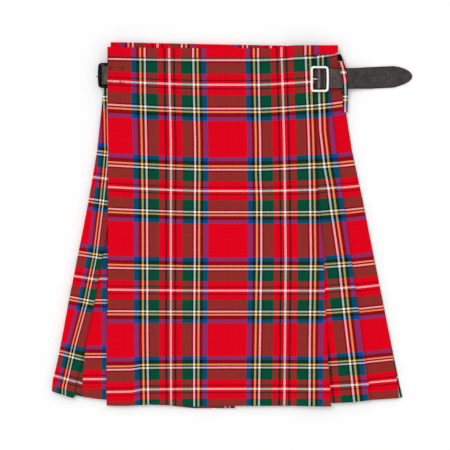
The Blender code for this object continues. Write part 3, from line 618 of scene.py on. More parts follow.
def leather():
    """Strap leather with a fine grain from tanning, mottled by worn patches, and a painted highlight on the
    ridge over the bar.

    The cut edges are inked and painted shade darkens the bends, so both are dark and hardly shine.
    """
    material, tree, shader = new_material("strap_leather")
    spot = add(tree, "ShaderNodeTexCoord", {}).outputs["Object"]
    place = add(tree, "ShaderNodeUVMap", {}, uv_map="weave").outputs["UV"]
    axes = add(tree, "ShaderNodeSeparateXYZ", {"Vector": place})
    across = sums(tree, "ABSOLUTE", axes.outputs["Y"])
    mottle = add(tree, "ShaderNodeTexNoise",
                 {"Vector": spot, "Scale": 1 / MOTTLE, "Detail": 6.0, "Roughness": 0.72}).outputs["Fac"]
    mottle = add(tree, "ShaderNodeMapRange", {0: mottle, 1: 0.35, 2: 0.65, 3: 0.0, 4: 1.0}).outputs[0]
    body = add(tree, "ShaderNodeMix",
               {0: mottle, 6: tone("#292423") + (1.0,), 7: tone("#443D3B") + (1.0,)},
               data_type="RGBA").outputs[2]
    # Painted shade beside the right strap's bends and a painted highlight on its ridge over the bar, read
    # from the table.
    share = add(tree, "ShaderNodeMapRange", {0: axes.outputs["X"], 1: SHADING_FROM, 2: SHADING_TO, 3: 0.0, 4: 1.0})
    ramp = add(tree, "ShaderNodeValToRGB", {"Fac": share.outputs[0]})
    stops = ramp.color_ramp.elements
    for index, (x, level) in enumerate(LEATHER_SHADE_AND_HIGHLIGHT):
        at = (x - SHADING_FROM) / (SHADING_TO - SHADING_FROM)
        stop = stops[index] if index < 2 else stops.new(at)
        stop.position = at
        stop.color = (level / SHADING_TOP,) * 3 + (1.0,)
    shade_and_highlight = sums(tree, "MULTIPLY", ramp.outputs["Color"], SHADING_TOP)
    # Painted shade on the left strap's bend below its buckle.
    left_bend_shade = add(tree, "ShaderNodeMapRange",
                 {0: axes.outputs["X"], 1: LEFT_BEND_SHADE[0], 2: LEFT_BEND_SHADE[1], 3: 0.05, 4: 1.0}).outputs[0]
    shade_and_highlight = sums(tree, "MULTIPLY", shade_and_highlight, left_bend_shade)
    body = add(tree, "ShaderNodeVectorMath", {0: body, "Scale": shade_and_highlight}, operation="SCALE").outputs[0]
    edge = add(tree, "ShaderNodeMapRange", {0: across, 1: 0.90, 2: 0.97, 3: 0.0, 4: 1.0}).outputs[0]
    tint = add(tree, "ShaderNodeMix", {0: edge, 6: body, 7: tone("#0C0A0A") + (1.0,)},
               data_type="RGBA").outputs[2]
    tree.links.new(tint, shader.inputs["Base Color"])
    grain = add(tree, "ShaderNodeTexVoronoi", {"Vector": spot, "Scale": 1 / GRAIN}).outputs["Distance"]
    bump = add(tree, "ShaderNodeBump", {"Strength": 0.35, "Distance": 0.0001, "Height": grain}).outputs[0]
    tree.links.new(bump, shader.inputs["Normal"])
    gloss = sums(tree, "MULTIPLY", sums(tree, "MINIMUM", shade_and_highlight, 1.0), sums(tree, "SUBTRACT", 1.0, edge))
    tree.links.new(sums(tree, "MULTIPLY", gloss, 0.30), shader.inputs["Specular IOR Level"])
    shader.inputs["Roughness"].default_value = 0.45
    return material


def plain(name, code, roughness, metallic=0.0):
    """A plain finish with a little unevenness in how it shines."""
    material, tree, shader = new_material(name)
    spot = add(tree, "ShaderNodeTexCoord", {}).outputs["Object"]
    noise = add(tree, "ShaderNodeTexNoise",
                {"Vector": spot, "Scale": 1 / POLISH, "Detail": 3.0}).outputs["Fac"]
    shine = add(tree, "ShaderNodeMapRange",
                {0: noise, 1: 0.3, 2: 0.7, 3: roughness * 0.8, 4: roughness * 1.2}).outputs[0]
    tree.links.new(shine, shader.inputs["Roughness"])
    shader.inputs["Base Color"].default_value = tone(code) + (1.0,)
    shader.inputs["Metallic"].default_value = metallic
    return material


TARTAN = wool()
LEATHER = leather()

# Polished plate looks near white in soft light. The near-black metal of the left buckle and its prong is
# painted shade. The twisted thread is flat and dark, and its thick rows also paint shade.
NICKEL = plain("nickel_plate", "#FBFAF8", 0.24, 0.55)
LEFT_BUCKLE_SHADE = plain("left_buckle_painted_shade", "#241A18", 0.36, 1.0)
LEFT_PRONG_SHADE = plain("left_prong_painted_shade", "#3C3736", 0.60, 1.0)
THREAD_AND_SHADE_LINES = plain("dark_thread_and_shade_lines", "#140C0D", 0.8)


def finish_piece(obj, slot, *nodes):
    """The piece rides on the kilt's one body and takes the place of its nodes, which are hidden."""
    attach(obj, "root")
    if nodes:
        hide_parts(*nodes)
    return obj


# Cloth


def side_cloth(name, runs_at, hem, weft, bumps=()):
    """A side of the kilt: the folded section of its runs at each row, with soft creases."""
    row = row_places(SIDE_ENDS)
    x, z, warp = walk(row, runs_at(row))
    y = page_y(row, x, SIDE_ENDS, hem)
    return panel(name, SIDE_ENDS, hem, row, (x, z, warp), weft(x, y), creases(x, y, bumps))


def apron_heights(x, y):
    """The z of the front apron's middle at x: high at its left edge and at its tuck, and low between."""
    tuck = column("tuck", y)
    side = at_row(APRON_LAYERS, y)
    middle = at_row(APRON_LAYERS, y, 2)
    shoulder = np.maximum(column("left_pleat", y) + 0.006, column("apron", y) + 0.012)
    fall = smooth((x - shoulder) / 0.045)
    climb = smooth((x - (tuck - 0.070)) / 0.044)
    layer = side + (middle - side) * fall + (TUCK_LAYER - middle) * climb
    return layer_z(layer, y) + strap_lift(x, y, tuck)


def apron_face(x, y):
    """The z of the front apron's middle with its creases and its unevenness."""
    return apron_heights(x, y) + creases(x, y, APRON_CREASES) + ripple(x, y)


def front_apron():
    """The over-apron, flat between its free left edge and the tuck that turns under at its right.

    The tuck is half a circle down by one layer and a straight run back. The top edge ends under the band's
    lip.
    """
    row = row_places(FRONT_ENDS)
    run = LAYER / 2
    left = column("apron", row)
    tuck = column("tuck", row)
    stop = tuck - CLOTH / 2 - run
    x = left + (stop - left) * np.linspace(0, 1, APRON_POINTS)
    y = page_y(row, x, FRONT_ENDS, FRONT_HEM)
    z = apron_heights(x, row) + creases(x, y, APRON_CREASES) + ripple(x, y)
    warp = apron_warp(x, row)
    turn = np.linspace(0, math.pi, 8)[1:]
    back = stop + (tuck - TUCK - stop) * np.linspace(0, 1, 6)[1:]
    x = np.hstack([x, stop + run * np.sin(turn), back])
    z = np.hstack([z, z[:, -1:] - run + run * np.cos(turn), z[:, -1:] - LAYER + 0 * back])
    warp = np.hstack([warp, warp[:, -1:] + run * turn * THREADS,
                      warp[:, -1:] + (run * math.pi + stop - back) * THREADS])
    y = page_y(row, x, FRONT_ENDS, FRONT_HEM)
    near_top = np.clip((row - BAND_LOW) / (FRONT_ENDS[0] - BAND_LOW), 0, 1)
    shift = near_top * (line(FRONT_TOP, x) - LIP - CLOTH - SEAM - FRONT_ENDS[0])
    return panel("front_apron_cloth", FRONT_ENDS, FRONT_HEM, row, (x, z, warp), apron_weft(x, y), shift=shift)


def pleat_width(y):
    """How much of each back pleat shows."""
    right = column("right", y) - RIGHT_JOIN
    left = column("left", y) + LEFT_JOIN
    return (right - left) / (PLEATS + 1)


def right_side():
    """Two pleats at the right: each turns under at its right edge, and the last rolls to the back."""
    def runs(y):
        pleat = column("side_pleat", y)
        last = column("last_pleat", y)
        right = column("right", y)
        tip = last - TIP_SHARE * pleat_width(y)
        stripe = at_row(RIGHT_STRIPE, y)
        start = column("tuck", y) - TUCK - 0.004
        edge = PALE_WARP + (pleat - stripe) * RIGHT_THREADS
        inner = SECOND_THREAD - SIDE_TUCK * THREADS
        return [
            (start, pleat, 5, 36, PALE_WARP + (start - stripe) * RIGHT_THREADS, edge),
            (pleat, pleat - SIDE_TUCK, 4, 6, edge + 3, inner - 3),
            (pleat - SIDE_TUCK, last, 3, 26, inner, SECOND_THREAD + (last - pleat) * THREADS),
            (last, tip, 2, 4, *LAST_THREAD),
            (tip, right, 1, 8, RIGHT_THREAD[0] - (right - tip) * LAST_THREADS, RIGHT_THREAD[0]),
            (right, right - RIGHT_JOIN, 0, 4, RIGHT_THREAD[1], BACK_THREAD),
        ]

    def weft(x, y):
        past = x - column("side_pleat", y)
        up = (line(NEXT_PLEAT, -y) + NEXT_PLEAT_SLOPE * past) * (past > 0.0004)
        up = up + TIP_UP * (x > column("last_pleat", y) + 0.0004)
        return weft_at(RIGHT_WEFT, x, y - up, RIGHT_WEFT_X)

    return side_cloth("right_side_cloth", runs, RIGHT_HEM, weft, RIGHT_CREASES)


def left_weft(x, y):
    """The weft threads of the left side, level under the apron and sloped on the pleat."""
    return weft_at(LEFT_WEFT, x, y, at_row(LEFT_STRIPE, y))


def left_side():
    """The left pleat: it rolls up from the back, turns under at its right edge and ends as an underlay."""
    def runs(y):
        left = column("left", y)
        pleat = column("left_pleat", y)
        underlay = column("inverted", y) + UNDERLAY_REACH
        stripe = at_row(LEFT_STRIPE, y)
        start = -PALE_WARP + (left - stripe) * LEFT_THREADS
        edge = -PALE_WARP + (pleat - stripe) * LEFT_THREADS
        inner = edge + LEFT_TUCK * THREADS
        return [
            (left + LEFT_JOIN - SEAM, left, 0, 5, start - ROLL_THREADS[0], start - ROLL_THREADS[1]),
            (left, pleat, 6, 18, start, edge),
            (pleat, pleat - LEFT_TUCK, 5, 6, edge + 3, inner),
            (pleat - LEFT_TUCK, underlay, 3, 18, inner + 12,
             inner + 12 + (underlay - pleat + LEFT_TUCK) * THREADS),
        ]
    return side_cloth("left_side_cloth", runs, LEFT_HEM, left_weft)


def under_warp(x, y):
    """The warp threads of the inner apron: it lies a little aslant under the front one."""
    top = apron_warp(x + np.interp(x, *UNDER_SHIFT), WAIST_Y)
    hem = UNDER_HEM_THREAD[0] + (x + UNDER_HEM_THREAD[1]) * THREADS
    return top + (hem - top) * smooth((SIDE_TOP - y) / 0.30)


def under_apron():
    """The inner apron: it steps down one layer from the underlay at its left onto the back pleats."""
    row = row_places(SIDE_ENDS, HIDDEN_ROW)
    left = column("inverted", row)
    right = column("tuck", row) - UNDER_END
    step, foot = UNDER_STEP
    x = np.hstack([left + step * np.linspace(0, 1, 8),
                   left + foot + (right - left - foot) * np.linspace(0, 1, 24)])
    z = layer_z(4 - np.clip((x - left - step) / (foot - step), 0, 1), row)
    y = page_y(row, x, SIDE_ENDS, UNDER_HEM)
    section = (x, z, under_warp(x, row))
    return panel("under_apron_cloth", SIDE_ENDS, UNDER_HEM, row, section, at_row(LEFT_WEFT, y))


def back_pleats():
    """Knife pleats with their faces on the table, each fold under the face of the next.

    Every pleat shows the part of the repeat that follows on from its neighbour's at the hip. Its section is a
    face, half a circle at the fold, half a circle at the back of the fold, and a drop to the next face.
    """
    row = row_places(SIDE_ENDS, HIDDEN_ROW)
    flat, one_up, two_up = (layer_z(layer, row) for layer in range(3))
    start = column("right", row) - RIGHT_JOIN
    end = column("left", row) + LEFT_JOIN
    width = pleat_width(row)
    pleat_threads = pleat_width(0.0) * THREADS
    run = LAYER / 2
    angle = np.linspace(0, math.pi, 6)
    out, up = run * np.sin(angle), run * (1 - np.cos(angle))
    x, z, warp = [start - SEAM], [flat], [BACK_THREAD + 0 * row]
    for pleat in range(1, PLEATS + 1):
        fold = start - pleat * width
        stop = fold + CLOTH / 2 + run
        back = fold + width - PLEAT_CLEAR
        face = stop + (x[-1] - stop) * 0.7 ** np.arange(1, 4)
        at_fold = BACK_THREAD + pleat * pleat_threads + 0 * row
        x += [face, stop - out, back + out, fold + CLOTH, fold + CLOTH - PLEAT_DROP]
        z += [flat + 0 * face, flat + up, one_up + up, two_up, flat]
        warp += [at_fold - (face - fold) * THREADS, at_fold + angle,
                 at_fold + (back - stop) * THREADS + angle, at_fold, at_fold + (PLEAT_DROP - CLOTH) * THREADS]
    tail = x[-1] + (end - x[-1]) * np.arange(1, 4) / 3
    x = np.hstack(x + [tail])
    z = np.hstack(z + [flat + 0 * tail])
    warp = np.hstack(warp + [BACK_THREAD + (PLEATS + 1) * pleat_threads - (tail - end) * THREADS])

    y = page_y(row, x, SIDE_ENDS, BACK_HEM)
    corners = np.array([BACK_HEM[0], BACK_HEM[-1]])
    sag = line(corners, x) - line(BACK_HEM, x)
    level = y + sag * np.clip(row / SIDE_ENDS[1], 0, 1)
    left = at_row(LEFT_WEFT, level)
    right = at_row(RIGHT_WEFT, level)
    weft = left + (right - left) * np.clip((x - end) / (start - end), 0, 1)
    return panel("back_pleats_cloth", SIDE_ENDS, BACK_HEM, row, (x, z, warp), weft)


def band(name, x, z, low, top, lip_way, warp):
    """A strip along the waist, from low to top at each x, whose top edge turns over by a quarter circle.

    Between its edges it swells by half a sine wave.
    """
    x, z, low, top, warp = (values[:, None] for values in (x, z, low, top, warp))
    share = np.linspace(0, 1, 7)
    turn = np.linspace(0, math.pi / 2, 5)[1:]
    y = np.hstack([low + (top - LIP - low) * share, top - LIP + LIP * np.sin(turn), top])
    up = np.hstack([z + 0.0003 * np.sin(math.pi * share), z + lip_way * (LIP - LIP * np.cos(turn)),
                    z + lip_way * 2 * LIP])
    sides = [np.stack([x + 0 * y, side[..., 0], side[..., 1]], axis=-1)
             for side in wall_sides(np.stack([y, up], axis=-1), SHELL)]
    weft = -WEFT_REPEAT / 2 - (y - (low + top) / 2) * THREADS
    return shell(name, *sides, np.stack([warp + 0 * weft, weft], axis=-1))


def band_course():
    """Where the front band runs: its x, the middle of its wall in z and its lower edge in y."""
    tuck = column("tuck", BAND_LOW)
    x = np.linspace(column("apron", BAND_LOW), tuck, 120)
    side_z = layer_z(BAND_SIDE_LAYER, BAND_LOW)
    z = np.append(apron_heights(x, BAND_LOW) + LAYER, (side_z + LAYER, side_z, side_z, side_z, side_z))
    x = np.append(x, (tuck + 0.006, tuck + 0.018, tuck + 0.025, tuck + 0.032, BAND_END))
    return x, z, BAND_LOW + line(BAND_ARCH, x) + BAND_RISE * np.clip((x - 0.090) / 0.080, 0, 1)


def waistband_front():
    """The band over the front apron and the right pleats."""
    x, z, low = band_course()
    top = line(FRONT_TOP, x) - CLOTH / 2
    return band("waistband_front_cloth", x, z, low, top, -1, apron_warp(x, WAIST_Y))


def waistband_under():
    """The strip of the inner apron's band that stands above the front one."""
    left = column("inverted", SIDE_TOP)
    right = column("tuck", SIDE_TOP) - UNDER_END
    x = np.concatenate([np.linspace(UNDER_TOP[0][0] - 0.0012, left + UNDER_STEP[0], 18),
                        np.linspace(left + UNDER_STEP[1], right, 80)])
    z = np.interp(x, left + np.array(UNDER_STEP), (layer_z(4, SIDE_TOP), layer_z(3, SIDE_TOP)))
    low = np.full(len(x), SIDE_TOP + SEAM)
    top = line(UNDER_TOP, x) - CLOTH / 2
    return band("waistband_under_cloth", x, z, low, top, -1, under_warp(x, SIDE_TOP))


def waistband_back():
    """The band of the back, under the pleats."""
    x = np.linspace(column("left", SIDE_TOP) + 0.004, column("right", SIDE_TOP) - 0.002, 130)
    low = np.full(len(x), BAND_LOW - 0.0005)
    top = np.full(len(x), SIDE_TOP + CLOTH / 2 + SEAM + 0.0004)
    return band("waistband_back_cloth", x, np.full(len(x), CLOTH / 2), low, top, 1, -x * THREADS)


def strap_loop():
    """The tartan keeper: a narrow strip along the right edge, over the strap, with its edges turned down."""
    over = layer_z(5, RIGHT_STRAP_Y) + CLOTH + SEAM + STRAP + SEAM
    low = layer_z(4, 0.2) - 0.0002
    beside = over - 0.0012
    heights = (low + LAYER, low + LAYER, beside, over, over, over, beside, low, low)
    sections = np.column_stack([LOOP_SECTIONS, heights])
    row = np.linspace(sections[0, 0], sections[-1, 0], 70)[:, None]
    near, far, height = (at_row(sections, row, i) for i in (1, 2, 3))
    share = np.linspace(0, 1, 9)
    x = near + (far - near) * share
    z = height - 0.0005 * share ** 2 - 0.0004 * (1 - share) ** 4
    sides = [np.stack([side[..., 0], row + 0 * x, side[..., 1]], axis=-1)
             for side in wall_sides(np.stack([x, z], axis=-1), SHELL)]
    turned = row > LOOP_TURN
    weft = np.where(turned, LOOP_BLACK[1], (LOOP_WEFT_Y - row) * LOOP_THREADS)
    warp = np.where(turned, LOOP_BLACK[0], PALE_WARP)
    warp = warp + (x - (near + far) / 2) * THREADS * np.where(turned, 0.5, 1.0)
    return shell("strap_loop_cloth", *sides, np.stack([warp, weft + 0 * x], axis=-1))


# Straps and buckles


def rounded(points, count):
    """A smooth line through points: a Catmull-Rom spline, twelve steps a span, resampled evenly."""
    points = np.array(points, dtype=float)
    padded = np.vstack([2 * points[0] - points[1], points, 2 * points[-1] - points[-2]])
    p0, p1, p2, p3 = (padded[i:i + len(points) - 1, None] for i in range(4))
    t = np.linspace(0, 1, 12, endpoint=False)[:, None]
    fine = 0.5 * (2 * p1 + (p2 - p0) * t + (2 * p0 - 5 * p1 + 4 * p2 - p3) * t ** 2
                  + (3 * p1 - p0 - 3 * p2 + p3) * t ** 3)
    fine = np.vstack([fine.reshape(-1, points.shape[1]), points[-1:]])
    steps = np.concatenate([[0], np.cumsum(np.linalg.norm(np.diff(fine, axis=0), axis=1))])
    even = np.linspace(0, steps[-1], count)
    return np.stack([np.interp(even, steps, values) for values in fine.T], axis=1)


def loft(name, rings, places, material, closed=False):
    """A closed body through rings of points. Its ends are capped unless the rings join up."""
    count, around = rings.shape[:2]
    number = np.arange(count * around).reshape(count, around)
    if closed:
        number = np.vstack([number, number[:1]])
    after = np.roll(number, -1, axis=1)
    faces = np.stack([number[:-1], after[:-1], after[1:], number[1:]], axis=-1).reshape(-1, 4).tolist()
    points = rings.reshape(-1, 3)
    places = places.reshape(-1, 2)
    if not closed:
        first = len(points)
        points = np.concatenate([points, [rings[0].mean(axis=0), rings[-1].mean(axis=0)]])
        places = np.concatenate([places, [places[0], places[-1]]])
        for end, centre in ((number[0], first), (number[-1], first + 1)):
            faces += np.stack([end, np.roll(end, -1), np.full(around, centre)], axis=-1).tolist()
    return outward(mesh_object(name, points, faces, material, places))


def strap(name, path, middle, width, count, tip=None, holes=(), margin=1.0):
    """A leather strap with rounded edges that follows (x, z) points, lies across y and may end in a tip.

    Its section is a circle squared off by powers of its sine and cosine. Its UV map holds x and the share of
    the half width, times margin, which widens the dark edges. Each hole is (x, radius, stretch along x).
    """
    points = rounded(path, count)
    upper, lower = wall_sides(points, 2.0)
    normal = (upper - lower) / 2
    normal = normal / np.linalg.norm(normal, axis=1)[:, None]
    x, z, aside, up = (values[:, None] for values in (*points.T, *normal.T))
    angles = np.linspace(0, 2 * math.pi, STRAP_SIDES, endpoint=False)
    across = np.sign(np.cos(angles)) * np.abs(np.cos(angles)) ** 0.35
    high = np.sign(np.sin(angles)) * np.abs(np.sin(angles)) ** 0.5
    half = width / 2 * (np.ones_like(x) if tip is None else line(tip, x))
    rise = high * STRAP / 2 * (0.55 + 0.45 * np.minimum(1.0, half / 0.004))
    rings = np.stack([x + aside * rise, line(middle, x) + across * half, z + up * rise], axis=-1)
    places = np.stack([x + 0 * rise, across * margin + 0 * rise], axis=-1)
    obj = loft(name, rings, places, LEATHER)
    cutters = []
    for at, radius, stretch in holes:
        bpy.ops.mesh.primitive_cylinder_add(vertices=28, radius=radius, depth=0.06,
                                            location=(at, float(line(middle, at)), 0.0))
        cutter = bpy.context.object
        cutter.scale = (stretch, 1.0, 1.0)
        cutters.append(cutter)
        cut = obj.modifiers.new("hole", "BOOLEAN")
        cut.object = cutter
        cut.operation = "DIFFERENCE"
        cut.solver = "EXACT"
    if cutters:
        bpy.context.view_layer.update()
        ready = obj.evaluated_get(bpy.context.evaluated_depsgraph_get())
        cut_mesh = bpy.data.meshes.new_from_object(ready)
        obj.modifiers.clear()
        obj.data = cut_mesh
    for cutter in cutters:
        bpy.data.objects.remove(cutter, do_unlink=True)
    return obj


def wire(name, points, radii, material, closed=False, flat=1.0, sides=16):
    """A wire: a circle carried along points, with a radius at each. flat squeezes its section in height."""
    points = np.array(points)
    radii = np.broadcast_to(np.array(radii, dtype=float), len(points))[:, None]
    if closed:
        ahead = np.roll(points, -1, axis=0) - np.roll(points, 1, axis=0)
    else:
        ahead = np.gradient(points, axis=0)
    ahead = ahead / np.linalg.norm(ahead, axis=1)[:, None]
    side = np.cross(ahead, (0.0, 1.0, 0.0) if flat == 1.0 else (0.0, 0.0, 1.0))
    lying = np.linalg.norm(side, axis=1) < 0.2
    side[lying] = np.cross(ahead[lying], (1.0, 0.0, 0.0))
    side = side / np.linalg.norm(side, axis=1)[:, None]
    up = np.cross(side, ahead)
    angles = np.linspace(0, 2 * math.pi, sides, endpoint=False)
    rings = (points[:, None] + (np.cos(angles) * radii)[..., None] * side[:, None]
             + (np.sin(angles) * radii * flat)[..., None] * up[:, None])
    return loft(name, rings, np.zeros(rings.shape[:2] + (2,)), material, closed)


def frame_path(wide, bulge):
    """Points round the buckle's frame: four quarter circles joined by straight runs in 1.5 mm steps.

    One side, the left one if bulge is negative, swells by bulge as a parabola.
    """
    long, wide = FRAME_LONG - FRAME_WIRE, wide - FRAME_WIRE
    quarter = np.repeat(np.arange(4), 13)
    turn = quarter * math.pi / 2 + np.tile(np.linspace(0, math.pi / 2, 13), 4)
    right = np.where((quarter == 0) | (quarter == 3), 1, -1)
    above = np.where(quarter < 2, 1, -1)
    path = np.stack([right * (long / 2 - FRAME_CORNER) + FRAME_CORNER * np.cos(turn),
                     above * (wide / 2 - FRAME_CORNER) + FRAME_CORNER * np.sin(turn)], axis=-1)
    fine = []
    for start, end in zip(path, np.roll(path, -1, axis=0)):
        pieces = max(1, int(np.linalg.norm(end - start) / 0.0015))
        fine.append(start + (end - start) * np.arange(pieces)[:, None] / pieces)
    fine = np.concatenate(fine)
    swell = np.clip(np.sign(bulge) * fine[:, 0] / (long / 2), 0, 1) * (1 - (fine[:, 1] / (wide / 2)) ** 2)
    fine[:, 0] += bulge * swell
    return fine


def join(first, *others):
    """One object from several."""
    for obj in bpy.context.selected_objects:
        obj.select_set(False)
    for obj in (first,) + others:
        obj.select_set(True)
    bpy.context.view_layer.objects.active = first
    bpy.ops.object.join()
    return first


def buckle(name, bar_x, middle, left_z, right_z, bar_z, wide, material, bulge):
    """A rounded frame, high at left_z and right_z, and a centre bar that dips under the strap."""
    path = frame_path(wide, bulge)
    slope = (right_z - left_z) / (FRAME_LONG - FRAME_WIRE)
    level = (left_z + right_z) / 2
    ring = np.stack([bar_x + path[:, 0], middle + path[:, 1], level + slope * path[:, 0]], axis=1)
    rim = wire(name, ring, FRAME_WIRE / 2, material, closed=True, flat=FRAME_FLAT)
    half = (wide - FRAME_WIRE) / 2
    dip = ((half, level), (half - 0.0022, bar_z + 0.0008), (half - 0.0036, bar_z), (half - 0.009, bar_z))
    arch = [(bar_x, middle - y, z) for y, z in dip] + [(bar_x, middle + y, z) for y, z in reversed(dip)]
    bar = wire(name + "_bar", rounded(arch, 40), BAR_RADIUS, material, sides=12)
    return join(rim, bar)


def right_strap():
    """The right strap, its buckle and its prong."""
    pleat_top = layer_z(5, RIGHT_STRAP_Y) + CLOTH / 2
    low = pleat_top + SEAM + STRAP / 2
    bar_z = pleat_top + SEAM + CHAPE + SEAM + BAR_RADIUS
    crest = bar_z + BAR_RADIUS + SEAM + CHAPE + SEAM + STRAP / 2
    path = [
        (0.1190, low), (0.1306, low), (0.1322, low + 0.0002), (0.1346, low + 0.0016),
        (RIGHT_BAR_X - 0.0028, crest - 0.0008), (RIGHT_BAR_X, crest),
        (RIGHT_BAR_X + 0.0032, crest - 0.0004), (RIGHT_BAR_X + 0.0070, low + 0.0027),
        (RIGHT_BAR_X + 0.0125, low + 0.0024), (0.1580, low + 0.0020), (0.1680, low + 0.0005),
        (0.1790, low - 0.0010), (0.1900, low - 0.0023), (0.2050, low - 0.0050), (0.2200, low - 0.0070),
        (0.2360, 0.0012), (0.2540, 0.0011), (0.2640, 0.0011), (0.2760, 0.0011), (0.2890, 0.0011),
    ]
    holes = [(x, HOLE_RADIUS, 1.0) for x in STRAP_HOLES] + [(RIGHT_BAR_X - 0.0029, SLOT_RADIUS, 2.0)]
    belt = strap("strap_right_leather", path, RIGHT_STRAP_LINE, STRAP_WIDTH, 150, RIGHT_STRAP_TIP, holes)
    finish_piece(belt, "leather", "strap_right")

    apron_top = layer_z(TUCK_LAYER, RIGHT_STRAP_Y) + RIGHT_LIFT + CLOTH / 2
    half = FRAME_WIRE / 2 * FRAME_FLAT
    left_z = apron_top + SEAM + half
    right_z = low + 0.0024 + STRAP / 2 + SEAM + half
    body = buckle("buckle_right_metal", RIGHT_BAR_X, RIGHT_STRAP_Y, left_z, right_z, bar_z,
                  FRAME_WIDE, NICKEL, 0.0007)
    finish_piece(body, "metal", "buckle_right")

    over = left_z + half + SEAM + PRONG_RADIUS * 1.5
    reach = BAR_RADIUS + SEAM + PRONG_RADIUS
    ring = [(RIGHT_BAR_X + reach * math.cos(a), RIGHT_STRAP_Y, bar_z + reach * math.sin(a))
            for a in np.radians((205, 250, 295, 340, 25, 70, 105))]
    tail = [(RIGHT_BAR_X - 0.0024, crest - 0.0010), (RIGHT_BAR_X - 0.0060, crest + 0.0013),
            (RIGHT_BAR_X - 0.0124, over), (RIGHT_BAR_X - 0.0150, over - 0.0002)]
    points = rounded(ring + [(x, RIGHT_STRAP_Y, z) for x, z in tail], 60)
    width = np.interp(np.linspace(0, 1, 60), (0, 0.45, 0.55, 0.93, 1), (1.0, 1.0, 1.5, 1.5, 0.7))
    tongue = wire("prong_right_metal", points, PRONG_RADIUS * width, NICKEL, sides=12)
    finish_piece(tongue, "metal", "prong_right")


def left_strap():
    """The left strap, its buckle and its prong."""
    pleat_top = layer_z(6, LEFT_STRAP_Y) + CLOTH / 2
    low = pleat_top + SEAM + STRAP / 2
    bar_z = pleat_top + SEAM + 2 * PRONG_RADIUS + SEAM + BAR_RADIUS
    crest = bar_z + BAR_RADIUS + SEAM + STRAP / 2
    path = [
        (-0.1720, low), (-0.1800, low), (-0.1890, low), (-0.1935, low + 0.0010),
        (LEFT_BAR_X + 0.0022, crest - 0.0004), (LEFT_BAR_X, crest), (LEFT_BAR_X - 0.0030, crest - 0.0006),
        (LEFT_BAR_X - 0.0056, crest - 0.0024), (LEFT_BAR_X - 0.0078, crest - 0.0048),
        (LEFT_BAR_X - 0.0106, 0.0068), (LEFT_BAR_X - 0.0113, 0.0046), (LEFT_BAR_X - 0.0099, 0.0023),
        (LEFT_BAR_X - 0.0072, 0.0013),
    ]
    level = ((-1.0, LEFT_STRAP_Y), (0.0, LEFT_STRAP_Y))
    belt = strap("strap_left_leather", path, level, LEFT_STRAP_WIDTH, 90, margin=1.05)
    finish_piece(belt, "leather", "strap_left")
    half = FRAME_WIRE / 2 * FRAME_FLAT
    right_z = low + STRAP / 2 + SEAM + half
    left_z = right_z - 0.0024
    # The near-black metal of this buckle is painted shade.
    body = buckle("buckle_left_metal", LEFT_BAR_X, LEFT_STRAP_Y, left_z, right_z, bar_z,
                  LEFT_FRAME_WIDE, LEFT_BUCKLE_SHADE, -0.0009)
    finish_piece(body, "metal", "buckle_left")
    over = left_z + half + SEAM + PRONG_RADIUS * 1.5
    reach = BAR_RADIUS + SEAM + PRONG_RADIUS
    ring = [(LEFT_BAR_X + reach * math.cos(a), LEFT_PRONG_Y, bar_z + reach * math.sin(a))
            for a in np.radians((285, 245, 210, 180))]
    tail = [(LEFT_BAR_X - 0.0045, bar_z + 0.0005), (LEFT_BAR_X - 0.0124, over),
            (LEFT_BAR_X - 0.0178, over - 0.0006)]
    points = rounded(ring + [(x, LEFT_PRONG_Y, z) for x, z in tail], 50)
    width = np.interp(np.linspace(0, 1, 50), (0, 0.3, 0.4, 0.93, 1), (1.0, 1.0, 1.5, 1.5, 0.7))
    # The near-black metal of this prong is painted shade.
    tongue = wire("prong_left_metal", points, PRONG_RADIUS * width, LEFT_PRONG_SHADE, sides=12)
    finish_piece(tongue, "metal", "prong_left")


def stitches(name, paths, height, pitch=0.0032, share=0.80, radius=0.00045):
    """Running stitches: short spindles of thread along each path of (x, y), sunk a little in the cloth.

    A spindle is five rings of six points. Its radius and its height swell by half a sine wave.
    """
    along = np.linspace(0, 1, 5)
    swell = np.sin(math.pi * along)
    thick = radius * (0.25 + 0.75 * swell)[:, None]
    angles = np.linspace(0, 2 * math.pi, 6, endpoint=False)
    spindles = []
    for path in paths:
        path = np.array(path)
        steps = np.concatenate([[0], np.cumsum(np.linalg.norm(np.diff(path, axis=0), axis=1))])
        place = pitch * (np.arange(int(steps[-1] / pitch))[:, None] + share * along)
        here, soon = (np.stack([np.interp(at, steps, values) for values in path.T], axis=-1)
                      for at in (place, place + 0.0005))
        way = soon - here
        way = way / np.maximum(np.linalg.norm(way, axis=-1), 1e-9)[..., None]
        centre = height(here[..., 0], here[..., 1]) + radius * (swell - 0.25)
        spindles.append(np.stack([here[..., :1] - way[..., 1:] * thick * np.cos(angles),
                                  here[..., 1:] + way[..., :1] * thick * np.cos(angles),
                                  centre[..., None] + thick * np.sin(angles)], axis=-1))
    points = np.concatenate(spindles)
    number = np.arange(30).reshape(5, 6)
    after = np.roll(number, -1, axis=1)
    sides = np.stack([number[:-1], after[:-1], after[1:], number[1:]], axis=-1).reshape(-1, 4)
    ends = np.stack([number[0], number[-1, ::-1]])
    first = 30 * np.arange(len(points))[:, None, None]
    faces = (sides + first).reshape(-1, 4).tolist() + (ends + first).reshape(-1, 6).tolist()
    return outward(mesh_object(name, points.reshape(-1, 3), faces, THREAD_AND_SHADE_LINES))


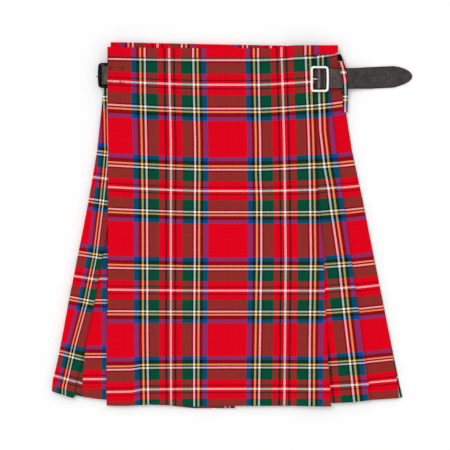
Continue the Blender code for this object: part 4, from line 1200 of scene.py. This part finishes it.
def sewing():
    """The box with a cross that holds the left strap, its tacks, and two thick dark rows (edge row, band
    seam) that paint shade.
    """
    seam_x, seam_z, seam_y = band_course()

    def on_apron(x, y):
        return apron_face(x, y) + SHELL / 2

    def on_band(x, _):
        return np.interp(x, seam_x, seam_z) - LAYER / 2 + 0.0003

    left, right, top, low = STITCHED_BOX
    box = [(left, top), (right, top), (right, low), (left, low), (left, top)]
    cross = [[(left, top), (right, low)], [(left, low), (right, top)]]
    finish_piece(stitches("strap_stitching", [box] + cross, on_apron), "tartan")
    finish_piece(stitches("strap_tacks", STRAP_TACKS, on_apron, 0.0022, 1.0, 0.00065), "tartan")
    # A thick, close row of stitching that also paints the shade along the apron's left edge.
    finish_piece(stitches("edge_stitching_and_shade", [EDGE_ROW], on_apron, 0.0032, 1.0, 0.0007), "tartan")
    # The band's seam is drawn thick and unbroken, so it mostly paints the shade under the band's lower edge.
    seam = [list(zip(seam_x, seam_y - 0.0005))]
    finish_piece(stitches("band_seam_and_shade", seam, on_band, 0.0050, 1.0, 0.0009), "tartan")


def kilt():
    """Every piece of the kilt, each in place of its solid. The table lists the flat size of each sheet of
    cloth.
    """
    sheets = (
        (back_pleats, "back_pleats", (1.06, 0.562)), (left_side, "left_side", (0.103, 0.556)),
        (right_side, "right_side", (0.145, 0.562)), (under_apron, "under_apron", (0.315, 0.560)),
        (front_apron, "front_apron", (0.365, 0.572)),
        (waistband_front, "waistband_front", (0.370, 0.018)),
        (waistband_under, "waistband_under", (0.294, 0.012)),
        (waistband_back, "waistband_back", (0.360, 0.017)), (strap_loop, "strap_loop", (0.010, 0.094)),
    )
    for build, node, flat in sheets:
        cloth_piece = finish_piece(build(), "tartan", node)
    right_strap()
    left_strap()
    sewing()
    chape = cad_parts["chape_right"]
    chape.data.materials.clear()
    chape.data.materials.append(plain("chape_leather", "#2B2726", 0.5))


def studio():
    """A white table, soft light from all round and a broad light from the upper left."""
    reach = 3.0
    corners = np.array([(-reach, -reach, 0), (reach, -reach, 0), (reach, reach, 0), (-reach, reach, 0)])
    floor = mesh_object("table_top", corners, [(0, 1, 2, 3)], plain("white_paper", "#F9F9F9", 0.9))
    floor.location.z = -0.0003

    world = bpy.data.worlds.new("studio")
    bpy.context.scene.world = world
    world.use_nodes = True
    world.node_tree.nodes["Background"].inputs["Color"].default_value = (1.0, 1.0, 1.0, 1.0)
    world.node_tree.nodes["Background"].inputs["Strength"].default_value = 0.85
    lamp = bpy.data.lights.new("softbox", "SUN")
    lamp.energy = 0.82
    lamp.angle = math.radians(30)
    softbox = bpy.data.objects.new("softbox", lamp)
    softbox.rotation_euler = (math.radians(-24), math.radians(-26), 0)
    bpy.context.scene.collection.objects.link(softbox)

    camera = bpy.data.cameras.new("camera")
    camera.sensor_width = 36.0
    camera.lens = 149.6
    eye = bpy.data.objects.new("camera", camera)
    eye.location = (-0.0112, 0.0003, 3.0)
    bpy.context.scene.collection.objects.link(eye)
    bpy.context.scene.camera = eye
    bpy.context.scene.view_settings.view_transform = "Standard"
    bpy.context.scene.view_settings.look = "None"


kilt()
studio()
